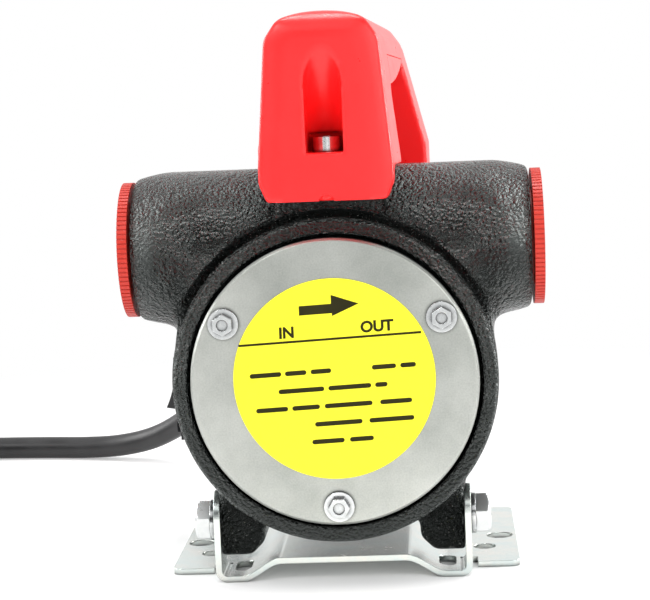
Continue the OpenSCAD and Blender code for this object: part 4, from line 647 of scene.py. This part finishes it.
class PUMP_OT_handle(bpy.types.Operator):
    """Makes the moulded handle and the liner under its grip"""
    bl_idname = "pump.handle"
    bl_label = "Handle"

    def execute(self, context):
        s = context.scene.pump_handle
        edge, cell = s.edge / MM, s.cell / MM
        front, top, low = HANDLE_LOW[1], HANDLE_HIGH[2], HANDLE_LOW[2]
        rear, lean, skirt = front + 132, 17.0, PAD_Z - 10.4
        heel = rear + lean
        gap_front, gap_back, gap_top = front + 28, rear - 31, top - 19
        gap_drop, gap_corner, rear_corner = 7.0, 4, 12
        screw_y, seat, slot_r, tilt = FRONT_Y + 12, PAD_Z + 5.6, 6.25, np.radians(33)
        crown_drop, shoulder_h, half_parting = 2.4, 9.5, 0.15

        def arc(y, z, r, a0, a1):
            a = np.radians(np.linspace(a0, a1, 12))
            return np.stack([y + r * np.cos(a), z + r * np.sin(a)], -1)

        outer = np.vstack([[(front, skirt)], arc(front + 9, top - 9, 9, 180, 90), arc(rear - 14, top - 14, 14, 90, 16),
                           [(heel, low + 32), (heel, low), (gap_back, low), (gap_back, skirt)]])
        ceiling = [(y, gap_top - gap_drop * (1 - ((y - gap_front) / (gap_back - gap_front)) ** 1.7))
                   for y in np.arange(gap_front + 12, gap_back - 4, 8)]
        gap = np.vstack([[(gap_front, low - 9)],
                         arc(gap_front + gap_corner, gap_top - gap_drop - gap_corner, gap_corner, 180, 90), ceiling,
                         arc(gap_back, gap_top - rear_corner, rear_corner, 90, 16),
                         [(heel - 22, low + 19), (heel - 22, low - 9)]])

        def solid(x, y, z):
            """Leaning sides, chamfered shoulders and a slightly round crown that widen to the rear, within the
            side view's outline, less the finger gap, the screw's slot and the room for the parts it meets."""
            ax = np.abs(x)
            k = np.clip((y - front) / (rear - front), 0, 1)
            top_w, crown_z = 19 + 5.6 * k, top - crown_drop * k
            side_w, wide_z = 22.4 + 11.6 * k, skirt + 12 + (AXIS_Z + 75 - skirt - 12) * k
            rise = np.clip((z - wide_z) / (crown_z - shoulder_h - wide_z), 0, 1)
            side = ax - side_w + (side_w - top_w) * rise
            shoulder = ((ax - top_w) * 6.6 + (z - crown_z + shoulder_h) * 4.6) / 8.045
            crown = z - crown_z + 2.9 * (ax / (top_w - 4.6)) ** 2
            skirt_cut = ((ax - side_w + 2.5) * 6 - (z - np.where(y < gap_back, skirt, low)) * 2.5) / 6.5
            flanks = common(side, shoulder, edge)
            shape = common(common(flanks, crown, 1.5 * edge), skirt_cut, edge / 2)
            shape = common(shape, outline_field(y, z, outer), edge)
            shape = common(shape, (front - y + (flanks + 5) * 0.32) / 1.05, edge)
            shape = common(shape, -outline_field(y, z, gap), edge)
            foot = box_field(x, y, z, (-17, heel - 4, low), (17, HANDLE_HIGH[1], PAD_Z - 21), 1.0)
            shape = joined(shape, foot, 2.0)
            across = (y - screw_y) * np.cos(tilt) + (z - seat) * np.sin(tilt)
            slot = common(np.where(across > 0, np.hypot(x, across), ax) - slot_r, seat - z, 0.6)
            well = rod_field(np.hypot(x, y - screw_y), z, slot_r, seat, seat + slot_r, 0.3)
            shape = common(shape, -joined(slot, well, 1.0), 0.9)
            motor_room = np.maximum(np.hypot(x, z - AXIS_Z) - 40.15, gap_back - y)
            pad_room = box_field(x, y, z, (-40, FRONT_Y + 3.8, low - 9), (40, gap_front + 1, PAD_Z), 0.3)
            lug_room = box_field(x, y, z, (-7.2, heel + 2.8, low - 9), (7.2, heel + 17.2, AXIS_Z + 42), 0.1)
            notch = np.maximum(np.hypot(x, z - skirt) - 2.2, y - FRONT_Y)
            for room in (motor_room, pad_room, lug_room, notch):
                shape = np.maximum(shape, -room)
            return shape

        def seam(y, z):
            """The liner's share, below zero: between the gap's ends, under a line that falls 2 in 100."""
            ends = np.maximum(gap_front + 5 - y, y - gap_back - 6)
            return np.maximum(ends, z - gap_top - 3.5 + 0.02 * (y - gap_front))

        finish = handle_plastic(s.colour)
        for name, node, turn, start, end in (
                ("handle_shell", "handle", -1, HANDLE_LOW - 1, HANDLE_HIGH + 1),
                ("grip_liner", "handle_liner", 1, (-36, gap_front, gap_top - 20), (36, gap_back + 9, gap_top + 9))):

            def side(_, y, z):
                return half_parting + turn * seam(y, z)

            def share(x, y, z):
                return np.maximum(solid(x, y, z), side(x, y, z))

            finished(surface_of(name, share, start, end, cell, (solid, side)), finish, "handle_red", node)
        return {"FINISHED"}


INK_LIFT = 0.04
FONT_SIZE = 1.23  # size of the font over the height of its capitals, which the offset thickens
ARROW = [(-11.0, 25.6), (-0.1, 25.6), (-0.1, 28.6), (9.2, 25.0), (0.1, 21.4), (0.1, 22.4), (-11.0, 22.4)]
DIVIDER = [(-31.9, 14.1), (29.8, 14.1), (29.8, 13.3), (-31.9, 13.3)]
BAR_THICK = 1.6
# Plain bars in the place of the words: height of the row, and where each bar starts and ends
ROWS = [(3.0, [(-28.6, -17.8), (-16.6, -9.3), (-7.9, -0.9), (12.8, 21.0), (22.4, 27.7)]),
        (-3.0, [(-19.0, -3.5), (-2.1, 12.4), (13.7, 17.9)]),
        (-9.0, [(-26.9, -16.0), (-14.6, -5.2), (-3.6, 12.6), (15.2, 26.0)]),
        (-15.0, [(-7.1, 9.0), (11.3, 26.5)]),
        (-21.0, [(-8.3, 2.7), (4.5, 12.6)])]


class PUMP_OT_label(bpy.types.Operator):
    """Prints the arrow, the two port words, the line and the plain text bars on the label"""
    bl_idname = "pump.label"
    bl_label = "Label print"

    def execute(self, context):
        s = context.scene.pump_label
        slope = math.tan(s.tilt)
        ink = plain_finish("black_ink", ("#26240c", "#2e2b10"), 0.6, depth_mm=0.003, specular=0.15)
        bars = [self.bar(x0, x1, v) for v, row in ROWS for x0, x1 in row]
        for name, outlines in (("label_arrow", [ARROW]), ("label_line", [DIVIDER]), ("label_rows", bars)):
            ends = np.cumsum([0] + [len(outline) for outline in outlines])
            faces = [list(range(i, j)) for i, j in zip(ends, ends[1:])]
            self.lay(name, np.vstack(outlines), faces, slope, ink)
        for name, word, x, v in (("label_in", "IN", -15.5, 15.2), ("label_out", "OUT", 15.0, 15.2)):
            curve = bpy.data.curves.new(name, "FONT")
            curve.body, curve.align_x = word, "CENTER"
            curve.size, curve.offset = s.letter_height / MM * FONT_SIZE, 0.2
            text = linked(word, curve)
            mesh = bpy.data.meshes.new_from_object(text.evaluated_get(context.evaluated_depsgraph_get()))
            flat = np.empty(len(mesh.vertices) * 3)
            mesh.vertices.foreach_get("co", flat)
            faces = [list(polygon.vertices) for polygon in mesh.polygons]
            bpy.data.objects.remove(text)
            bpy.data.meshes.remove(mesh)
            self.lay(name, flat.reshape(-1, 3)[:, :2] + (x, v), faces, slope, ink)
        return {"FINISHED"}

    def bar(self, x0, x1, v):
        """A bar with round ends."""
        a, r = np.radians(np.linspace(-90, 90, 7)), BAR_THICK / 2
        end = np.stack([r * np.cos(a) - r, r * np.sin(a)], -1)
        return np.vstack([end + (x1, v), -end + (x0, v)])

    def lay(self, name, flat, faces, slope, ink):
        """Lays a print on the label, x to the right and v up, sheared by the tilt: z = v + x * slope. Its faces
        look to the front."""
        x, v = flat.T
        y, z = LABEL_LOW[1] - INK_LIFT, (LABEL_LOW[2] + LABEL_HIGH[2]) / 2
        obj = mesh_object(name, np.stack([x, np.full(len(x), y), z + v + x * slope], -1), faces, smooth=False)
        for polygon in obj.data.polygons:
            if polygon.normal.y > 0:
                polygon.flip()
        obj.data.update()
        finished(obj, ink, "motor_black")


class PUMP_OT_fasteners(bpy.types.Operator):
    """Makes the bracket bolts with chamfered hexagon heads"""
    bl_idname = "pump.fasteners"
    bl_label = "Bracket bolts"

    def execute(self, context):
        """Rows of points along each bolt. The head's radius is half the width across flats over the cosine of
        the angle from the nearest flat's middle, and no more than a cone that rounds off the outer end."""
        low, high = corners("bracket_bolts")
        middle, seat = (low + high) / 2, WASHERS_HIGH[0]
        height, half_flats, shank_r, shank_in, tip_r = high[0] - seat, 6.5, 4.0, -12, 0.01
        a = once_round(72)
        flat = half_flats / np.cos((a + np.radians(15)) % (np.pi / 3) - np.pi / 6)
        rows = [(height, tip_r), (height, 5.4), (height - 0.25, np.minimum(flat, 6.2)),
                (height - 0.9, np.minimum(flat, 7.0)), (height - 1.5, flat), (0, flat), (0, shank_r),
                (shank_in, shank_r), (shank_in, tip_r)]
        bolts = [np.stack([side * (seat + t) + 0 * a, middle[1] + r * np.cos(a), middle[2] + r * np.sin(a)], -1)
                 for side in (-1, 1) for t, r in rows]
        faces = grid_faces(len(rows), len(a))
        faces = np.vstack([faces, faces + len(rows) * len(a)])
        obj = outward(mesh_object("bracket_bolt_pair", np.vstack(bolts), faces, smooth=False))
        finish = zinc_plate("bright_zinc_bolts", ("#dfe2e2", "#f0f2f1"), 0.3, grain_mm=1.2, edge_mm=0.4)
        finished(obj, finish, "zinc_bolt", "bracket_bolts")
        return {"FINISHED"}


SPRINGS = (("bypass_spring", "bypass_open", 1.0), ("brush_spring_left", "brush_left_slide", 0.6),
           ("brush_spring_right", "brush_right_slide", 0.6))  # node, joint, wire
SPRING_TURNS = 7


class PUMP_OT_springs(bpy.types.Operator):
    """Winds the springs of the bypass valve and of the brushes"""
    bl_idname = "pump.springs"
    bl_label = "Springs"

    def execute(self, context):
        steel = plain_finish("drawn_spring_wire", ("#8b8e91", "#a4a7aa"), 0.25, 1.0)
        for node, joint, wire in SPRINGS:
            low, high = corners(node)
            middle = (low + high) / 2
            t = np.linspace(0, 1, SPRING_TURNS * 24 + 1)
            a = 2 * np.pi * SPRING_TURNS * t
            out = np.stack([0 * a, np.cos(a), np.sin(a)], -1)
            path = middle + (high[2] - low[2] - wire) / 2 * out
            path[:, 0] = low[0] + wire / 2 + (high[0] - low[0] - wire) * t
            obj = tube("wound_" + node, path, wire / 2, 8, out)
            finished(obj, steel, "spring_steel", node)
            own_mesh(obj)
        return {"FINISHED"}


# Name, two close shades and nodes, then roughness, metallic, grain and its depth, and edge rounding in mm
PLAIN_FINISHES = [
    # black oxide on steel: dark, with a dull shine
    ("blackened_screws", "#1c1c1d", "#262627", "lid_screws", 0.4, 1.0),
    # printed film: flat and even, in the label's own colour
    ("yellow_film", None, None, "rating_label", 0.35, 0.0, 0.6, 0.005),
    # moulded caps: waxy, with a broad soft shine
    ("red_polypropylene", "#bd2412", "#c72b18", "inlet_cap outlet_cap", 0.42, 0.0, 0.5, 0.02, 0.3),
    # sprayed paint: a tight shine over a faint orange peel
    ("semi_gloss_black_paint", "#171718", "#1e1e1f", "motor_tube motor_end_cap", 0.3, 0.0, 1.6, 0.03, 0.8),
    # cast, ground and turned parts: metals from dull to bright
    ("die_cast_aluminium", "#8c9093", "#9ca0a3", "motor_flange", 0.45, 1.0, 0.6, 0.02, 0.5),
    ("ground_steel", "#9a9da0", "#aeb1b4", "pump_rotor rotor_pin armature_shaft front_bearing rear_bearing", 0.28,
     1.0, 0.3, 0.02, 0.3),
    ("phenolic_composite", "#2b2623", "#38312d", "rotor_vanes", 0.5),
    # rubber: nearly black, without a shine
    ("nitrile_rubber", "#141414", "#1d1d1d", "cover_seal shaft_seal", 0.6),
    ("turned_brass", "#c39a4b", "#d2ab5c", "bypass_poppet bypass_retainer brush_holders", 0.3, 1.0, 0.6, 0.02, 0.2),
    ("spring_steel", "#7d8083", "#94979a", "wave_washer", 0.35, 1.0),
    # the motor's inside: matt ferrite and carbon, striped sheets, lacquered wire that glints in ridges
    ("sintered_ferrite", "#35373a", "#404346", "motor_magnets", 0.6),
    ("stacked_sheet_steel", "#55585b", "#66696c", "armature_core", 0.45, 1.0, 0.5, 0.05),
    ("lacquered_copper_wire", "#8d4a22", "#a8602f", "armature_windings", 0.3, 0.8, 1.0, 0.3),
    ("copper_bars", "#b06a3f", "#c07d50", "commutator", 0.3, 1.0),
    ("phenolic_board", "#6b3f20", "#7b4b29", "brush_plate", 0.55),
    ("pressed_carbon", "#1d1d1f", "#29292b", "brush_left brush_right", 0.6),
    # moulded plastics: textured nylon, a smooth rocker and a grey plug
    ("black_nylon", "#161617", "#1f1f20", "switch_box switch_box_lid cable_gland gland_nut switch_body", 0.45, 0.0,
     0.5, 0.03, 0.5),
    ("smooth_black_plastic", "#121213", "#19191a", "switch_rocker", 0.22, 0.0, 0.6, 0.004, 0.6),
    ("red_wire_cover", "#a81d17", "#b8251e", "motor_leads", 0.4),
    ("red_abs", "#dd211b", "#e6261f", "handle handle_liner", 0.36, 0.0, 0.5, 0.03, 1.2),
    ("grey_polycarbonate", "#4b4f53", "#575b5f", "battery_plug", 0.45, 0.0, 0.6, 0.03, 0.6),
    ("silver_plate", "#c5c7c8", "#d6d8d9", "plug_contacts", 0.25, 1.0)]


class PUMP_OT_finishes(bpy.types.Operator):
    """Gives the CAD pieces their finishes"""
    bl_idname = "pump.finishes"
    bl_label = "Finishes"

    def execute(self, context):
        dress(zinc_plate("blasted_zinc_cover", ("#a9ada7", "#d8dad4"), 0.34, 0.4, 0.06, 0.5, 38.0), "cover_plate")
        dress(zinc_plate("zinc_plated_screws", ("#c4c7c8", "#eceeed"), 0.12), "cover_bolts", "bracket_bolts",
              "lock_washers", "through_bolts", "liner_screws", "handle_screws")
        dress(zinc_plate("passivated_zinc_sheet", ("#d6e2e0", "#ebeae4"), 0.24, 0.8, 0.015, 0.5), "mounting_bracket")
        label = context.scene.pump_label.colour
        for name, dark, light, nodes, *numbers in PLAIN_FINISHES:
            dress(plain_finish(name, (dark or label, light or label), *numbers), *nodes.split())
        return {"FINISHED"}


# Name, place, size in metres and power in watts
LAMPS = [("key_light", (-0.6, -0.9, 1.0), 0.35, 3.6), ("fill_light", (0.8, -0.9, 0.5), 0.7, 2.8),
         ("right_strip", (0.85, 0.3, 0.35), 0.5, 7.0), ("left_strip", (-0.85, 0.25, 0.4), 0.5, 4.5),
         ("top_light", (0.0, 0.1, 1.2), 0.4, 4.8)]
LAMP_TARGET = Vector((0, 0, 0.09))
FLOOR_HALF = 6000


class PUMP_OT_stage(bpy.types.Operator):
    """Lays the pale floor and sets the studio light"""
    bl_idname = "pump.stage"
    bl_label = "Stage"

    def execute(self, context):
        self.floor()
        self.studio(context)
        for name, at, size, power in LAMPS:
            data = bpy.data.lights.new(name, "AREA")
            data.energy, data.size = power, size
            lamp = linked(name, data)
            lamp.location = at
            lamp.rotation_euler = (LAMP_TARGET - Vector(at)).to_track_quat("-Z", "Y").to_euler()
        context.scene.view_settings.view_transform = "Standard"
        return {"FINISHED"}

    def floor(self):
        """Matt paper that the camera and mirrors see fade to plain white 70 to 500 mm from the pump."""
        material, tree, place = new_finish("white_paper_floor")
        seen = add(tree, "LightPath").outputs
        shown = add(tree, "Math", {0: seen["Is Camera Ray"], 1: seen["Is Glossy Ray"]}, operation="MAXIMUM")
        reach = add(tree, "VectorMath", {0: place}, operation="DISTANCE")
        far = add(tree, "MapRange", {"Value": reach.outputs["Value"], "From Min": 0.07, "From Max": 0.5,
                                     "To Min": 0.08}, interpolation_type="SMOOTHSTEP")
        white = add(tree, "Math", {0: shown, 1: far}, operation="MULTIPLY")
        paper = add(tree, "BsdfPrincipled", {"Base Color": (0.93, 0.93, 0.93, 1), "Roughness": 0.9,
                                             "Specular IOR Level": 0.0})
        both = add(tree, "MixShader", {0: white, 1: paper, 2: add(tree, "Emission")})
        add(tree, "OutputMaterial", {"Surface": both})
        h = FLOOR_HALF
        floor = mesh_object("floor", [(-h, -h, 0), (h, -h, 0), (h, h, 0), (-h, h, 0)], [(0, 1, 2, 3)])
        floor.data.materials.append(material)

    def studio(self, context):
        """A white surround. The metal mirrors pale walls with soft dark gaps between them, and an open back."""
        world = bpy.data.worlds.new("studio")
        context.scene.world = world
        world.use_nodes = True
        tree = world.node_tree
        tree.nodes.clear()
        seen = add(tree, "LightPath").outputs
        shown = add(tree, "Math", {0: seen["Is Camera Ray"], 1: seen["Is Transmission Ray"]}, operation="MAXIMUM")
        shown = add(tree, "Math", {0: shown, 1: seen["Is Diffuse Ray"]}, operation="MAXIMUM")
        direction = add(tree, "TexCoord").outputs["Generated"]
        walls = add(tree, "TexNoise", {"Vector": direction, "Scale": 2.2, "Detail": 1.0, "Roughness": 0.4})
        level = add(tree, "MapRange", {"Value": walls, "From Min": 0.42, "From Max": 0.54, "To Min": 0.05,
                                       "To Max": 1.05}, interpolation_type="SMOOTHSTEP")
        depth = add(tree, "SeparateXYZ", {0: direction}).outputs["Y"]
        behind = add(tree, "MapRange", {"Value": depth, "From Min": -0.25, "From Max": 0.2},
                     interpolation_type="SMOOTHSTEP")
        mirrored = add(tree, "Math", {0: level, 1: behind}, operation="MAXIMUM")
        strength = add(tree, "Math", {0: mirrored, 1: shown}, operation="MAXIMUM")
        sky = add(tree, "Background", {"Color": (1, 1, 1, 1), "Strength": strength})
        add(tree, "OutputWorld", {"Surface": sky})


OPERATORS = [PUMP_OT_camera, PUMP_OT_cord, PUMP_OT_finishes, PUMP_OT_casting, PUMP_OT_handle, PUMP_OT_label,
             PUMP_OT_fasteners, PUMP_OT_springs, PUMP_OT_stage]


class PUMP_PT_panel(bpy.types.Panel):
    """Lists the pump's pieces"""
    bl_label = "Diesel transfer pump"
    bl_idname = "PUMP_PT_panel"
    bl_space_type = "VIEW_3D"
    bl_region_type = "UI"
    bl_category = "Pump"

    def draw(self, context):
        for operator in OPERATORS:
            self.layout.operator(operator.bl_idname)
        for name, group in SETTINGS.items():
            for key in group.__annotations__:
                self.layout.prop(getattr(context.scene, name), key)


CLASSES = [*SETTINGS.values(), *OPERATORS, PUMP_PT_panel]


def register():
    for cls in CLASSES:
        bpy.utils.register_class(cls)
    for name, group in SETTINGS.items():
        setattr(bpy.types.Scene, name, bpy.props.PointerProperty(type=group))


def unregister():
    for name in SETTINGS:
        delattr(bpy.types.Scene, name)
    for cls in reversed(CLASSES):
        bpy.utils.unregister_class(cls)


def main():
    register()
    for operator in OPERATORS:
        getattr(bpy.ops.pump, operator.bl_idname.split(".")[1])()


if __name__ == "__main__":
    main()
